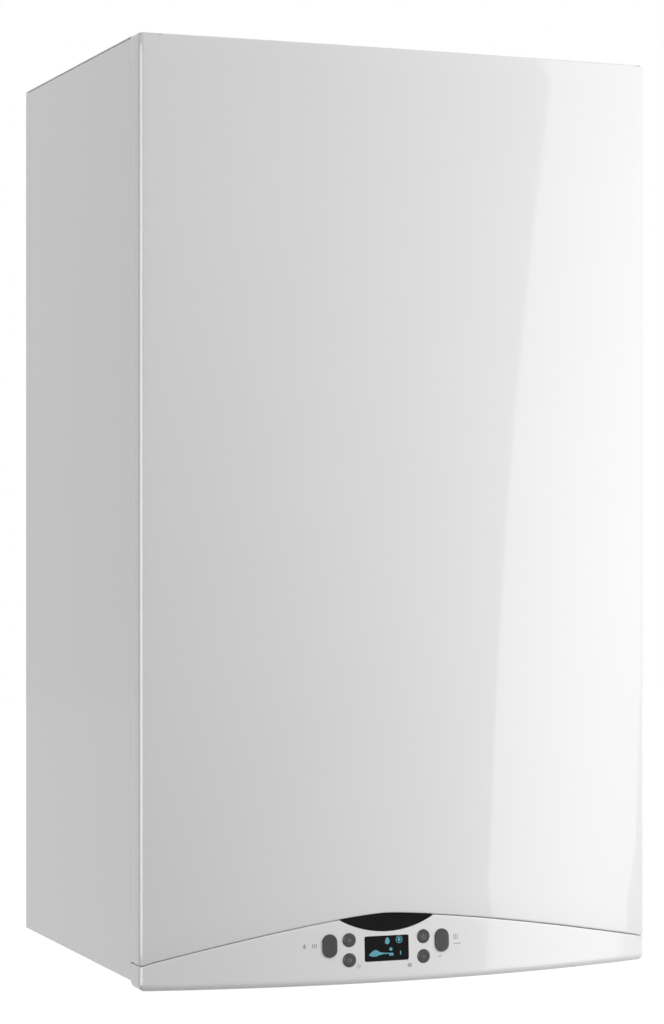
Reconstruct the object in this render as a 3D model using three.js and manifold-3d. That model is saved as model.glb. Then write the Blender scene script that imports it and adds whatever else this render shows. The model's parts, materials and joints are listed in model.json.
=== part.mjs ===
// A wall-hung condensing combi boiler, in millimetres, +Z up.
//
// It is drawn with the wall at y = 0, the room towards -Y, and the lower edge of the case at z = 0. The exported
// group is lowered so that its origin is the centre of the wall bracket's back face.
//
// The case is a pan-shaped back frame with two side panels and a top, closed by a bowed front cover. Below the
// cover a control unit (fascia, display, buttons and electronics box) tilts down on two pins. Inside, from the
// top: flue collar and pipe, heat exchanger with burner door, fan with gas mixer, and the hydraulic group on its
// connection rail.

import * as THREE from "three";
import { mergeVertices } from "three/addons/utils/BufferGeometryUtils.js";
import Module from "manifold-3d";

const wasm = await Module();
wasm.setup();

// ---------------------------------------------------------------------------------------------------------------
// Driving dimensions
// ---------------------------------------------------------------------------------------------------------------

// Case
const CASE_W = 440; // overall width
const CASE_H = 745; // overall height of the case
const CASE_D = 330; // wall to the front corner of the cover
const BOW_TOP = 3; // how far the middle of the front stands ahead of its corners, at the top edge
const BOW_BOTTOM = 30; // and at the bottom edge
const BOW_POWER = 1.3; // how the bow grows from top to bottom
const SHEET = 1; // painted sheet steel
const CORNER_R = 4; // vertical corner of the cover and of the fascia
const LEAST_CORNER_R = 0.4; // what is left of it on faces that lie further in than the corner's centre
const RETURN_D = 22; // depth of the cover's side and top returns
const HEM_W = 11; // turned-in hem at the back of the cover's returns
const LOWER_RETURN_D = 9; // inward return along the cover's arched lower edge
const RELIEF_L = 14; // slot that frees the top fold near each corner
const RELIEF_H = 1.2;
const SIDE_LIFT = 6; // side panels end this far above the fascia's lower edge
const LIP_W = 12; // front lip of the side panels and of the top
const SEAL_T = 3; // foam seal between the cover and the case

// Arched joint between cover and fascia
const CONTROLS_X = -24; // centre of the controls and peak of the arch
const SEAM_END_H = 20; // height of the joint at both corners
const SEAM_RISE = 35; // further height at the peak
const SEAM_POWER = 1.4;
const SEAM_GAP = 1.2;

// Clearances
const FIT = 0.3; // between pieces that are seated on each other
const PANEL_GAP = 0.5; // between casing panels
const TURN_GAP = 1; // in front of the side panels, for the tilting fascia

// Hanging
const HANG_DROP = 55; // top of the case to the middle of the wall bracket
const BRACKET_W = 380;
const BRACKET_H = 50;
const BRACKET_T = 2.5;
const HOOK_X = 120; // each hook's distance from the middle
const HOOK_W = 36;
const HOOK_TIP_H = 14;
const WALL_SLOT_INSET = 25; // end of the bracket to its wall screw slots
const WALL_SLOT_L = 26;
const WALL_SLOT_R = 4;
const PAN_D = 12; // depth of the pressed back frame
const BACK_T = 1.2;
const BACK_FOOT_Z = 20; // lower edge of the back frame
const PAN_RIB_X = 75; // pitch of its pressed ribs
const PAN_RIB_W = 24;
const PAN_RIB_D = 4;

// Control fascia
const FASCIA_T = 2.5;
const FASCIA_EDGE_R = 6; // rounded lower edge
const FASCIA_LEDGE_D = 8; // ledge behind its arched upper edge
const FASCIA_LEDGE_T = 1.6;
const FLOOR_HALF_W = 200;
const FLOOR_SETBACK = 5; // its floor ends this far ahead of the electronics box's back
const BADGE_W = 81; // bare dark insert under the peak of the arch
const BADGE_DROP = 11;
const BADGE_T = 1.5;
const BADGE_FIT = 0.25;
const DISPLAY_W = 37.5;
const DISPLAY_H = 20;
const DISPLAY_Z = 27.6;
const DISPLAY_R = 1.5;
const WINDOW_T = 2;
const WINDOW_RIM = 1.8;
const BUTTON_D = 10.7;
const BUTTON_X = 31.4; // from the middle of the display
const BUTTON_ZS = [19.7, 35.4];
const BUTTON_PROUD = 1;
const BUTTON_TRAVEL = 1;
const BUTTON_FIT = 0.3;
const ROCKER_W = 11.7;
const ROCKER_H = 18;
const ROCKER_X = 47.5;
const ROCKER_Z = 31.5;
const ROCKER_PROUD = 1.1;
const ROCKER_FIT = 0.45;
const KEYPAD_T = 1.5;
const KEYPAD_MARGIN = 6; // beyond the rockers
const BOARD_T = 1.6;
const BOARD_MARGIN = 12;
const BOARD_H = 34;

// Electronics box and its hinge
const BOX_SIDE_GAP = 22; // case side to box side
const BOX_SETBACK = 21; // front corner of the case to the front of the box
const BOX_L = 109;
const BOX_Z = 8;
const BOX_H = 50;
const BOX_T = 2.5;
const LID_T = 2;
const LID_SKIRT = 5;
const HINGE_Z = 16;
const HINGE_BACK = 6; // hinge axis behind the box
const EAR_T = 8;
const EAR_R = 7;
const PIN_R = 3;
const PIN_HEAD_R = 5.5;
const PIN_HEAD_T = 2.5;
const HINGE_PLATE_T = 1.6;
const HINGE_PLATE_LAP = 50; // how far a hinge bracket lies against the rail's flange
const BOARD_POST_H = 5; // posts that carry the main board
const TRANSFORMER_W = 42;
const TRANSFORMER_D = 36;
const TRANSFORMER_H = 26;
const RELAY_W = 16;
const RELAY_D = 22;
const RELAY_H = 15;
const RELAY_COUNT = 5;
const CAPACITOR_R = 6;
const CAPACITOR_H = 22;
const CAPACITOR_COUNT = 3;
const CONNECTOR_W = 17;
const CONNECTOR_D = 11;
const CONNECTOR_H = 9;
const CONNECTOR_COUNT = 9;
const COMPONENT_GAP = 8; // between neighbours on the main board
const GROMMET_W = 70;
const GROMMET_H = 16;
const GROMMET_LIP_W = 3;
const GROMMET_LIP_T = 2.2;
const CABLE_R = 4;
const CABLE_COUNT = 4;

// Connection rail and pipe stubs
const RAIL_Z = 30;
const RAIL_T = 1.5;
const RAIL_D = 146;
const RAIL_FLANGE_H = 26;
const RAIL_LIP_H = 12;
const RAIL_SIDE_GAP = 14.7; // case side to the rail's side flange
const PIPE_PITCH = 65; // between neighbouring connections
const PIPE_Y = 85; // connections in front of the wall
const PIPE_DROP = 15; // stubs below the case
const STUB_R_LARGE = 13.2; // 3/4 inch thread
const STUB_R_SMALL = 10.5; // 1/2 inch thread
const STUB_BORE_R = 7.5;
const STUB_BORE_L = 32;

// Hydraulic group
const BARREL_R = 20;
const BARREL_H = 80;
const CROSS_R = 13;
const PORT_LOW = 22; // ports above the foot of a barrel
const PORT_HIGH = 62;
const PORT_R = 10;
const PORT_X = 80;
const COPPER_R = 9;
const COPPER_BEND = 22;
const PLATES_W = 190; // plate heat exchanger
const PLATES_D = 50;
const PLATES_GAP = 2; // behind the plate stack, bridged by its port collars
const PLATES_OVER = 12; // above and below its ports
const PLATE_COUNT = 6;
const PLATE_GROOVE = 3;
const PUMP_R = 46;
const PUMP_VOLUTE_D = 40;
const PUMP_MOTOR_R = 40;
const PUMP_MOTOR_D = 78;
const PUMP_TERMINAL_D = 40;
const PUMP_NECK_R = 14;
const PUMP_NECK_H = 12;
const VENT_R = 13;
const VENT_H = 58;
const DIVERTER_W = 46;
const DIVERTER_H = 58;
const SAFETY_REACH = 38; // safety valve beside its barrel
const KNOB_R = 14;
const KNOB_L = 18;
const KNOB_NOTCHES = 8;
const TAP_KNOB_R = 11;
const TAP_KNOB_L = 16;
const TAP_STEM_R = 6;

// Expansion vessel and its frame
const VESSEL_R = 180;
const VESSEL_D = 80;
const VESSEL_SEAM_T = 4;
const VESSEL_SEAM_W = 3;
const VESSEL_PIPE_R = 6;
const VESSEL_PORT_X = 28;
const VESSEL_PIPE_DROP = 70; // straight run below the vessel
const VESSEL_PIPE_RISE = 40; // and above the return barrels
const MID_GAP = 5; // vessel to mid frame
const MID_T = 1.5;
const MID_H = 210;
const MID_FOOT_W = 15;

// Exchanger and burner
const EXCHANGER_Z = 490;
const EXCHANGER_R = 118;
const EXCHANGER_WALL = 5;
const EXCHANGER_RIM = 6;
const COIL_TURNS = 4;
const COIL_TUBE_R = 9;
const COIL_PITCH = 22;
const COIL_INSET = 24; // coil centre line inside the shell
const COIL_STEPS = 12; // steps in one turn
const DOOR_T = 8;
const DOOR_DOME_R = 62;
const DOOR_STUDS = 6;
const BURNER_R = 35;
const BURNER_L = 92;
const ELECTRODE_R = 5;
const ELECTRODE_X = 56;
const ELECTRODE_DROP = 48;
const WATER_NECK_DROP = 20; // water necks above and below the middle
const WATER_NECK_L = 17;

// Fan, mixer and air intake
const FAN_Z = 290;
const FAN_R = 58; // spiral's least radius
const FAN_GROWTH = 18;
const FAN_D = 56;
const FAN_WALL = 2.5;
const FAN_OUTLET_W = 40;
const FAN_OUTLET_H = 85;
const FAN_INLET_R = 28;
const IMPELLER_R = 50;
const IMPELLER_D = 34;
const BLADE_COUNT = 9;
const MOTOR_R = 40;
const MOTOR_D = 42;
const MOTOR_FLANGE_R = 60;
const MOTOR_FLANGE_T = 3;
const SHAFT_R = 4;
const COVER_CLEARANCE = 8; // front corner of the case to the burner group
const MIXER_R = 38;
const MIXER_D = 26;
const MIXER_NECK_L = 20;
const MIXER_NECK_H = 44;
const SILENCER_W = 50;
const SILENCER_WALL = 2;
const SILENCER_TOP_Z = 440;
const SILENCER_SIDE_GAP = 20;

// Gas
const VALVE_X = 120;
const VALVE_W = 60;
const VALVE_H = 90;
const VALVE_D = 60;
const GAS_R = 8;
const GAS_RUN_Z = 150;

// Flue
const FLUE_Y = 165; // flue axis in front of the wall
const FLUE_R = 30;
const FLUE_WALL = 1.5;
const COLLAR_R = 50;
const COLLAR_H = 18;
const COLLAR_WALL = 2;
const COLLAR_PLATE_T = 2;
const COLLAR_PLATE_W = 156;
const COLLAR_PLATE_D = 124;
const COLLAR_SPIGOT_H = 14;
const COLLAR_WEBS = 3;
const TEST_X = 64;
const TEST_R = 5;
const TEST_HEAD_R = 8.5;
const TEST_HEAD_H = 5;
const TEST_BOSS_H = 6;

// Condensate trap
const TRAP_X = -60;
const TRAP_Y = 190; // in front of the wall
const TRAP_R = 24;
const TRAP_Z = 165;
const TRAP_H = 50;
const TRAP_SKIRT_H = 15;
const TRAP_RIM = 2; // the body stands this far out over the cup's bore
const CUP_WALL = 4.7;
const CUP_H = 30;
const RISER_R = 9;
const CUFF_H = 14; // rubber cuffs at both ends of the riser

// Facets
const ROUND = 20; // sides of large round forms
const ROUND_SMALL = 10;
const TRAP_SIDES = 16;
const PIPE_SIDES = 8;
const PIPE_STEP = 24; // length of one straight facet of a pipe
const BOW_STEPS = 16;
const CORNER_STEPS = 2;
const COVER_ROWS = 6;

// ---------------------------------------------------------------------------------------------------------------
// Finishes
// ---------------------------------------------------------------------------------------------------------------

const finish = (color, roughness, metalness) =>
  new THREE.MeshStandardMaterial({ color, roughness, metalness });
const WHITE_PAINT = finish(0xf1f1f0, 0.3, 0);
const WHITE_PLASTIC = finish(0xefefee, 0.38, 0);
const GALVANISED = finish(0xb4b8ba, 0.42, 0.9);
const STEEL = finish(0xa9acae, 0.35, 1);
const COPPER = finish(0xb9714a, 0.32, 1);
const BRASS = finish(0xb99a52, 0.35, 1);
const CAST_ALUMINIUM = finish(0x9c9fa1, 0.55, 0.9);
const DARK_PLASTIC = finish(0x2a2b2d, 0.5, 0);
const KEY_GREY = finish(0x4c4d50, 0.45, 0);
const BLACK_GLOSS = finish(0x0b0c0e, 0.12, 0);
const GREY_PLASTIC = finish(0x8b8e90, 0.5, 0);
const RED_PAINT = finish(0xa8281e, 0.4, 0);
const RED_PLASTIC = finish(0xb52a22, 0.45, 0);
const BLUE_PLASTIC = finish(0x2458a0, 0.45, 0);
const RUBBER = finish(0x1c1c1d, 0.85, 0);
const BOARD_GREEN = finish(0x1f5a3c, 0.5, 0);
const CERAMIC = finish(0xe6e2d8, 0.35, 0);

// ---------------------------------------------------------------------------------------------------------------
// Solids
// ---------------------------------------------------------------------------------------------------------------

const MERGE_DISTANCE = 1e-4;

// A closed three.js geometry as a solid that can be cut and joined.
function solidOf(geometry) {
  const bare = geometry.index ? geometry.toNonIndexed() : geometry.clone();
  bare.deleteAttribute("normal");
  bare.deleteAttribute("uv");
  const merged = mergeVertices(bare, MERGE_DISTANCE);
  const vertProperties = merged.attributes.position.array;
  const triVerts = new Uint32Array(merged.index.array);
  return new wasm.Manifold(new wasm.Mesh({ numProp: 3, vertProperties, triVerts }));
}

function geometryOf(solid) {
  const mesh = solid.getMesh();
  const geometry = new THREE.BufferGeometry();
  geometry.setAttribute("position", new THREE.BufferAttribute(mesh.vertProperties, 3));
  geometry.setIndex(new THREE.BufferAttribute(mesh.triVerts, 1));
  geometry.computeVertexNormals();
  return geometry;
}

const join = (...solids) => solids.flat().reduce((sum, solid) => sum.add(solid));
const cut = (solid, ...tools) => tools.flat().reduce((rest, tool) => rest.subtract(tool), solid);
const count = (number, make) => Array.from({ length: number }, (_, i) => make(i));

const X_AXIS = new THREE.Vector3(1, 0, 0);
const Y_AXIS = new THREE.Vector3(0, 1, 0);
const Z_AXIS = new THREE.Vector3(0, 0, 1);
const SHAPE_IN_YZ = new THREE.Matrix4().makeBasis(Y_AXIS, Z_AXIS, X_AXIS); // pushed along +X
const SHAPE_IN_XZ = new THREE.Matrix4().makeBasis(X_AXIS, Z_AXIS, Y_AXIS.clone().negate()); // along -Y

function box(x0, x1, y0, y1, z0, z1) {
  const geometry = new THREE.BoxGeometry(x1 - x0, y1 - y0, z1 - z0);
  return solidOf(geometry.translate((x0 + x1) / 2, (y0 + y1) / 2, (z0 + z1) / 2));
}

const outline = (points) => new THREE.Shape(points.map(([a, b]) => new THREE.Vector2(a, b)));

function circle(a, b, radius) {
  const shape = new THREE.Shape();
  shape.absarc(a, b, radius, 0, 2 * Math.PI);
  return shape;
}

// A rectangle with round corners, about the point (a, b).
function roundedRectangle(a, b, width, height, radius) {
  const w = width / 2 - radius;
  const h = height / 2 - radius;
  const shape = new THREE.Shape();
  shape.absarc(a + w, b + h, radius, 0, Math.PI / 2);
  shape.absarc(a - w, b + h, radius, Math.PI / 2, Math.PI);
  shape.absarc(a - w, b - h, radius, Math.PI, 1.5 * Math.PI);
  shape.absarc(a + w, b - h, radius, 1.5 * Math.PI, 2 * Math.PI);
  return shape;
}

function pushed(shape, depth, curveSegments) {
  return new THREE.ExtrudeGeometry(shape, { depth, bevelEnabled: false, curveSegments });
}

// Prisms of an outline: in x and y pushed up, in x and z pushed through y, and in y and z pushed along x.
const prismZ = (shape, z0, z1, segments = 2) =>
  solidOf(pushed(shape, z1 - z0, segments).translate(0, 0, z0));
const prismY = (shape, y0, y1, segments = 2) =>
  solidOf(pushed(shape, y1 - y0, segments).applyMatrix4(SHAPE_IN_XZ).translate(0, y1, 0));
const prismX = (shape, x0, x1, segments = 2) =>
  solidOf(pushed(shape, x1 - x0, segments).applyMatrix4(SHAPE_IN_YZ).translate(x0, 0, 0));

// Round bars along each axis.
function rod(radius, length, sides) {
  return new THREE.CylinderGeometry(radius, radius, length, sides);
}
const rodX = (r, x0, x1, y, z, sides = ROUND_SMALL) =>
  solidOf(rod(r, x1 - x0, sides).rotateZ(Math.PI / 2).translate((x0 + x1) / 2, y, z));
const rodY = (r, y0, y1, x, z, sides = ROUND_SMALL) =>
  solidOf(rod(r, y1 - y0, sides).translate(x, (y0 + y1) / 2, z));
const rodZ = (r, z0, z1, x, y, sides = ROUND_SMALL) =>
  solidOf(rod(r, z1 - z0, sides).rotateX(Math.PI / 2).translate(x, y, (z0 + z1) / 2));

// Turned forms: the profile lists [radius, distance along the axis] and closes on itself or on the axis.
const lathe = (profile, sides) =>
  new THREE.LatheGeometry(profile.map(([r, h]) => new THREE.Vector2(r, h)), sides);
function turned(profile, sides) {
  const solid = solidOf(lathe(profile, sides));
  return solid.volume() < 0 ? solidOf(lathe([...profile].reverse(), sides)) : solid;
}
const turnedY = (profile, x, z, sides = ROUND) => turned(profile, sides).translate([x, 0, z]);
const turnedZ = (profile, x, y, sides = ROUND) =>
  turned(profile, sides).rotate([90, 0, 0]).translate([x, y, 0]);

// A round pipe along straight runs with bends between them.
function pipe(corners, radius, bend) {
  const points = corners.map((corner) => new THREE.Vector3(...corner));
  const path = new THREE.CurvePath();
  let start = points[0];
  for (let i = 1; i < points.length - 1; i += 1) {
    const back = points[i].distanceTo(points[i - 1]);
    const ahead = points[i].distanceTo(points[i + 1]);
    const reach = Math.min(bend, back / 2, ahead / 2);
    const before = points[i].clone().lerp(points[i - 1], reach / back);
    const after = points[i].clone().lerp(points[i + 1], reach / ahead);
    path.add(new THREE.LineCurve3(start, before));
    path.add(new THREE.QuadraticBezierCurve3(before, points[i], after));
    start = after;
  }
  path.add(new THREE.LineCurve3(start, points.at(-1)));
  const steps = Math.max(2, Math.round(path.getLength() / PIPE_STEP));
  const section = circle(0, 0, radius);
  const options = { steps, extrudePath: path, curveSegments: PIPE_SIDES / 2, bevelEnabled: false };
  return solidOf(new THREE.ExtrudeGeometry(section, options));
}

// A closed skin between an outer and an inner grid of points, each a list of rows from the bottom up, with
// each row's points from left to right as seen from outside.
function skin(outer, inner) {
  const rows = outer.length;
  const columns = outer[0].length;
  const faces = [];
  const at = (layer, row, column) => (layer * rows + row) * columns + column;
  const quad = (a, b, c, d) => faces.push(a, b, c, a, c, d);
  for (let row = 0; row < rows - 1; row += 1) {
    for (let column = 0; column < columns - 1; column += 1) {
      quad(at(0, row, column), at(0, row, column + 1), at(0, row + 1, column + 1), at(0, row + 1, column));
      quad(at(1, row, column), at(1, row + 1, column), at(1, row + 1, column + 1), at(1, row, column + 1));
    }
    const last = columns - 1;
    quad(at(0, row, 0), at(0, row + 1, 0), at(1, row + 1, 0), at(1, row, 0));
    quad(at(0, row, last), at(1, row, last), at(1, row + 1, last), at(0, row + 1, last));
  }
  for (let column = 0; column < columns - 1; column += 1) {
    const top = rows - 1;
    quad(at(0, 0, column), at(1, 0, column), at(1, 0, column + 1), at(0, 0, column + 1));
    quad(at(0, top, column), at(0, top, column + 1), at(1, top, column + 1), at(1, top, column));
  }
  const geometry = new THREE.BufferGeometry();
  geometry.setAttribute("position", new THREE.Float32BufferAttribute([outer, inner].flat(3), 3));
  geometry.setIndex(faces);
  return solidOf(geometry);
}

// ---------------------------------------------------------------------------------------------------------------
// The bowed front
// ---------------------------------------------------------------------------------------------------------------

const HALF_W = CASE_W / 2;
const LAST_STATION = 2 * (CORNER_STEPS + 1) + BOW_STEPS;

const bowAt = (z) => BOW_TOP + (BOW_BOTTOM - BOW_TOP) * Math.max(0, 1 - z / CASE_H) ** BOW_POWER;
const frontY = (x, z) => -(CASE_D + bowAt(z) * (1 - (x / HALF_W) ** 2));

// Height of the joint between cover and fascia.
function seamZ(x) {
  const reach = x < CONTROLS_X ? CONTROLS_X + HALF_W : HALF_W - CONTROLS_X;
  const t = Math.min(1, Math.abs(x - CONTROLS_X) / reach);
  return SEAM_END_H + SEAM_RISE * (1 - t ** SEAM_POWER);
}

// One point of the front's plan at height z: stations run from the back of the left return, round its corner,
// across the bow, and round the right corner to the back of the right return. The inset is taken inwards.
function frontPoint(station, z, inset, backY) {
  const side = station <= LAST_STATION / 2 ? -1 : 1;
  const fromEdge = side < 0 ? station : LAST_STATION - station;
  if (fromEdge === 0) return [side * (HALF_W - inset), backY, z];
  const lean = Math.atan((4 * bowAt(z)) / CASE_W);
  const arcEndX = HALF_W - CORNER_R * (1 - Math.sin(lean));
  const arcY = frontY(arcEndX, z) + CORNER_R * Math.cos(lean);
  if (fromEdge <= CORNER_STEPS + 1) {
    const angle = ((fromEdge - 1) / CORNER_STEPS) * (Math.PI / 2 - lean);
    const radius = Math.max(CORNER_R - inset, LEAST_CORNER_R);
    const deeper = inset + radius - CORNER_R;
    const x = HALF_W - inset - radius * (1 - Math.cos(angle));
    return [side * x, arcY + deeper - radius * Math.sin(angle), z];
  }
  const x = arcEndX * ((2 * (station - CORNER_STEPS - 1)) / BOW_STEPS - 1);
  const slope = (2 * bowAt(z) * x) / HALF_W ** 2;
  const length = Math.hypot(slope, 1);
  return [x - (inset * slope) / length, frontY(x, z) + inset / length, z];
}

const stationX = (station) => frontPoint(station, 0, 0, 0)[0];
const frontRow = (height, inset, backY) =>
  count(LAST_STATION + 1, (i) => frontPoint(i, height(stationX(i)), inset, backY));

// A shell that follows the front. Each row lists its height as a function of x and its inset, first on the
// outer face and then on the inner one.
function frontShell(rows, backY) {
  return skin(
    rows.map(([height, inset]) => frontRow(height, inset, backY)),
    rows.map(([, , height, inset]) => frontRow(height, inset, backY)),
  );
}

// The plan of the front at one height, closed by a straight back edge.
function frontPlan(z, inset, backY) {
  return outline(count(LAST_STATION + 1, (i) => frontPoint(i, z, inset, backY).slice(0, 2)));
}

// ---------------------------------------------------------------------------------------------------------------
// Places that several pieces share
// ---------------------------------------------------------------------------------------------------------------

const HANG_Z = CASE_H - HANG_DROP;
const COVER_BACK_Y = -(CASE_D - RETURN_D);
const PANEL_FRONT_Y = COVER_BACK_Y + PANEL_GAP;
const LIP_Y = PANEL_FRONT_Y + SEAL_T; // front face of the lips that carry the seal
const INNER_HALF_W = HALF_W - SHEET; // inside of the side panels
const BACK_PLATE_Y = -(PAN_D + BACK_T); // front face of the back frame
const HOOK_Z = HANG_Z - BRACKET_T;
const SIDE_TOP_Z = CASE_H - SHEET - PANEL_GAP;

const fasciaTop = (x) => seamZ(x) - SEAM_GAP / 2;
const coverFoot = (x) => seamZ(x) + SEAM_GAP / 2;
const FASCIA_BACK_Y = PANEL_FRONT_Y - TURN_GAP;

const BOX_FRONT_Y = -(CASE_D - BOX_SETBACK);
const BOX_BACK_Y = BOX_FRONT_Y + BOX_L;
const BOX_HALF_W = HALF_W - BOX_SIDE_GAP;
const HINGE_Y = BOX_BACK_Y + HINGE_BACK;
const RAIL_HALF_W = HALF_W - RAIL_SIDE_GAP;
const RAIL_BACK_Y = BACK_PLATE_Y - FIT;
const RAIL_FRONT_Y = RAIL_BACK_Y - RAIL_D;
const HINGE_PLATE_X = RAIL_HALF_W - RAIL_T - FIT; // outer face of a hinge bracket

const BARREL_Z = RAIL_Z + RAIL_T + FIT;
const BARREL_TOP_Z = BARREL_Z + BARREL_H;
const PORT_ZS = [BARREL_Z + PORT_LOW, BARREL_Z + PORT_HIGH];
const OUTER_X = 2 * PIPE_PITCH; // flow and return connections
const TAP_X = 1.5 * PIPE_PITCH;
const PLATES_Y = -(PIPE_Y + BARREL_R + 25); // back of the plate exchanger's collars
const PUMP_Z = BARREL_TOP_Z + PUMP_NECK_H + PUMP_R;
const PUMP_TOP_Z = PUMP_Z + PUMP_R + PUMP_NECK_H / 2;

const VESSEL_BACK_Y = BACK_PLATE_Y - FIT;
const VESSEL_Y = VESSEL_BACK_Y - VESSEL_D / 2;
const VESSEL_Z = EXCHANGER_Z;
const MID_BACK_Y = VESSEL_BACK_Y - VESSEL_D - MID_GAP;
const MID_FRONT_Y = MID_BACK_Y - MID_T;
const MID_LEG_X = VESSEL_R + VESSEL_SEAM_W + MID_GAP;

const BURNER_FRONT_Y = -(CASE_D - COVER_CLEARANCE);
const FAN_FRONT_Y = BURNER_FRONT_Y + MIXER_D + FIT;
const FAN_BACK_Y = FAN_FRONT_Y + FAN_D;
const DOOR_FRONT_Y = FAN_BACK_Y + PANEL_GAP;
const DOOR_BACK_Y = DOOR_FRONT_Y + DOOR_T;
const SHELL_FRONT_Y = DOOR_BACK_Y + FIT;
const SHELL_BACK_Y = MID_FRONT_Y - FIT;
const SHELL_MID_Y = (SHELL_FRONT_Y + SHELL_BACK_Y) / 2;
const OUTLET_X = -(FAN_R + FAN_GROWTH - FAN_OUTLET_W / 2); // middle of the fan's outlet
const OUTLET_TOP_Z = FAN_Z + FAN_OUTLET_H;
const WATER_NECK_X = EXCHANGER_R + WATER_NECK_L;
const COIL_R = EXCHANGER_R - COIL_INSET;
const TRAP_TOP_Z = TRAP_Z + TRAP_H;
const SHELL_DRAIN_Z = EXCHANGER_Z - EXCHANGER_R + 3;
const FLUE_SEAT_Z = EXCHANGER_Z + EXCHANGER_R + 4;
const COLLAR_Z = CASE_H + FIT;
const COLLAR_TOP_Z = CASE_H + COLLAR_H;

// ---------------------------------------------------------------------------------------------------------------
// Case
// ---------------------------------------------------------------------------------------------------------------

function wallBracket() {
  const halfH = BRACKET_H / 2;
  const plate = box(-BRACKET_W / 2, BRACKET_W / 2, -BRACKET_T, 0, HANG_Z - halfH, HANG_Z + halfH);
  const tipY = BACK_PLATE_Y - BRACKET_T - PANEL_GAP;
  const hook = (x) =>
    join(
      box(x - HOOK_W / 2, x + HOOK_W / 2, tipY, -BRACKET_T / 2, HOOK_Z - BRACKET_T, HOOK_Z),
      box(x - HOOK_W / 2, x + HOOK_W / 2, tipY - BRACKET_T, tipY, HOOK_Z - BRACKET_T, HOOK_Z + HOOK_TIP_H),
    );
  const slot = (x) => roundedRectangle(x, HANG_Z, WALL_SLOT_L, 2 * WALL_SLOT_R, WALL_SLOT_R - 0.01);
  const endX = BRACKET_W / 2 - WALL_SLOT_INSET;
  const slots = [-endX, 0.4 * endX, endX].map((x) => prismY(slot(x), -BRACKET_T - 1, 1));
  return cut(join(plate, hook(-HOOK_X), hook(HOOK_X)), slots);
}

// A pressed pan: a plate with flanges back to the wall, hook slots and upright ribs.
function backFrame() {
  const halfW = INNER_HALF_W - PANEL_GAP;
  const flangeY = -(SHEET + PANEL_GAP);
  const top = SIDE_TOP_Z - PANEL_GAP;
  const block = box(-halfW, halfW, BACK_PLATE_Y, flangeY, BACK_FOOT_Z, top);
  const hollow = box(-halfW + BACK_T, halfW - BACK_T, -PAN_D, 0, BACK_FOOT_Z + BACK_T, top - BACK_T);
  const pan = cut(block, hollow);
  const slotFoot = HOOK_Z - BRACKET_T - HOOK_TIP_H - 2 * PANEL_GAP;
  const slot = (x) =>
    box(x - HOOK_W / 2 - 1, x + HOOK_W / 2 + 1, BACK_PLATE_Y - 1, -PAN_D + 1, slotFoot, HOOK_Z + FIT);
  const rib = (x) => {
    const z0 = BACK_FOOT_Z + PAN_RIB_W;
    const z1 = EXCHANGER_Z - VESSEL_R;
    const half = PAN_RIB_W / 2;
    const y = -PAN_D + PAN_RIB_D;
    const section = [
      [x - half, -PAN_D - BACK_T / 2],
      [x - half, -PAN_D],
      [x - half + PAN_RIB_D, y],
      [x + half - PAN_RIB_D, y],
      [x + half, -PAN_D],
      [x + half, -PAN_D - BACK_T / 2],
    ];
    const mouth = half - BACK_T;
    const bottom = half - PAN_RIB_D - BACK_T;
    const groove = [
      [x - mouth, BACK_PLATE_Y - 1],
      [x - mouth, BACK_PLATE_Y],
      [x - bottom, y - BACK_T],
      [x + bottom, y - BACK_T],
      [x + mouth, BACK_PLATE_Y],
      [x + mouth, BACK_PLATE_Y - 1],
    ];
    return {
      outer: prismZ(outline(section), z0, z1),
      groove: prismZ(outline(groove), z0 + BACK_T, z1 - BACK_T),
    };
  };
  const ribs = [-2, -1, 0, 1, 2].map((i) => rib(i * PAN_RIB_X));
  const body = join(pan, ribs.map((r) => r.outer));
  return cut(body, [slot(-HOOK_X), slot(HOOK_X)], ribs.map((r) => r.groove));
}

// The folded profile that the side panels and the top share: across is measured from the outer face inwards, and
// y from the wall. Its front edge is folded back on itself and turned in to carry the seal.
function panelProfile(across) {
  return [
    [across(0), 0],
    [across(0), PANEL_FRONT_Y],
    [across(2 * SHEET), PANEL_FRONT_Y],
    [across(2 * SHEET), LIP_Y],
    [across(LIP_W), LIP_Y],
    [across(LIP_W), LIP_Y + SHEET],
    [across(SHEET), LIP_Y + SHEET],
    [across(SHEET), -SHEET],
    [across(LIP_W), -SHEET],
    [across(LIP_W), 0],
  ];
}

function sidePanel(side) {
  const profile = outline(panelProfile((inwards) => side * (HALF_W - inwards)));
  return prismZ(profile, SIDE_LIFT, SIDE_TOP_Z);
}

function topPanel() {
  const lipHalfW = HALF_W - LIP_W - PANEL_GAP;
  const flangeX = INNER_HALF_W - PANEL_GAP;
  const flangeY = BACK_PLATE_Y - PANEL_GAP;
  const lidded = box(-HALF_W, HALF_W, PANEL_FRONT_Y, 0, CASE_H - SHEET, CASE_H);
  const fold = box(-lipHalfW, lipHalfW, PANEL_FRONT_Y, LIP_Y + SHEET, CASE_H - 2 * SHEET, CASE_H);
  const lip = box(-lipHalfW, lipHalfW, LIP_Y, LIP_Y + SHEET, CASE_H - LIP_W, CASE_H);
  const flange = (x0, x1) => box(x0, x1, LIP_Y + SHEET + PANEL_GAP, flangeY, CASE_H - LIP_W, CASE_H);
  const flanges = [flange(-flangeX, -flangeX + SHEET), flange(flangeX - SHEET, flangeX)];
  const hole = (x, radius, sides) => rodZ(radius, CASE_H - LIP_W, CASE_H + 1, x, -FLUE_Y, sides);
  const spigotHole = hole(0, COLLAR_R - COLLAR_WALL + PANEL_GAP, ROUND);
  const testHoles = [hole(-TEST_X, TEST_R + 2), hole(TEST_X, TEST_R + 2)];
  return cut(join(lidded, fold, lip, flanges), spigotHole, testHoles);
}

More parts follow.
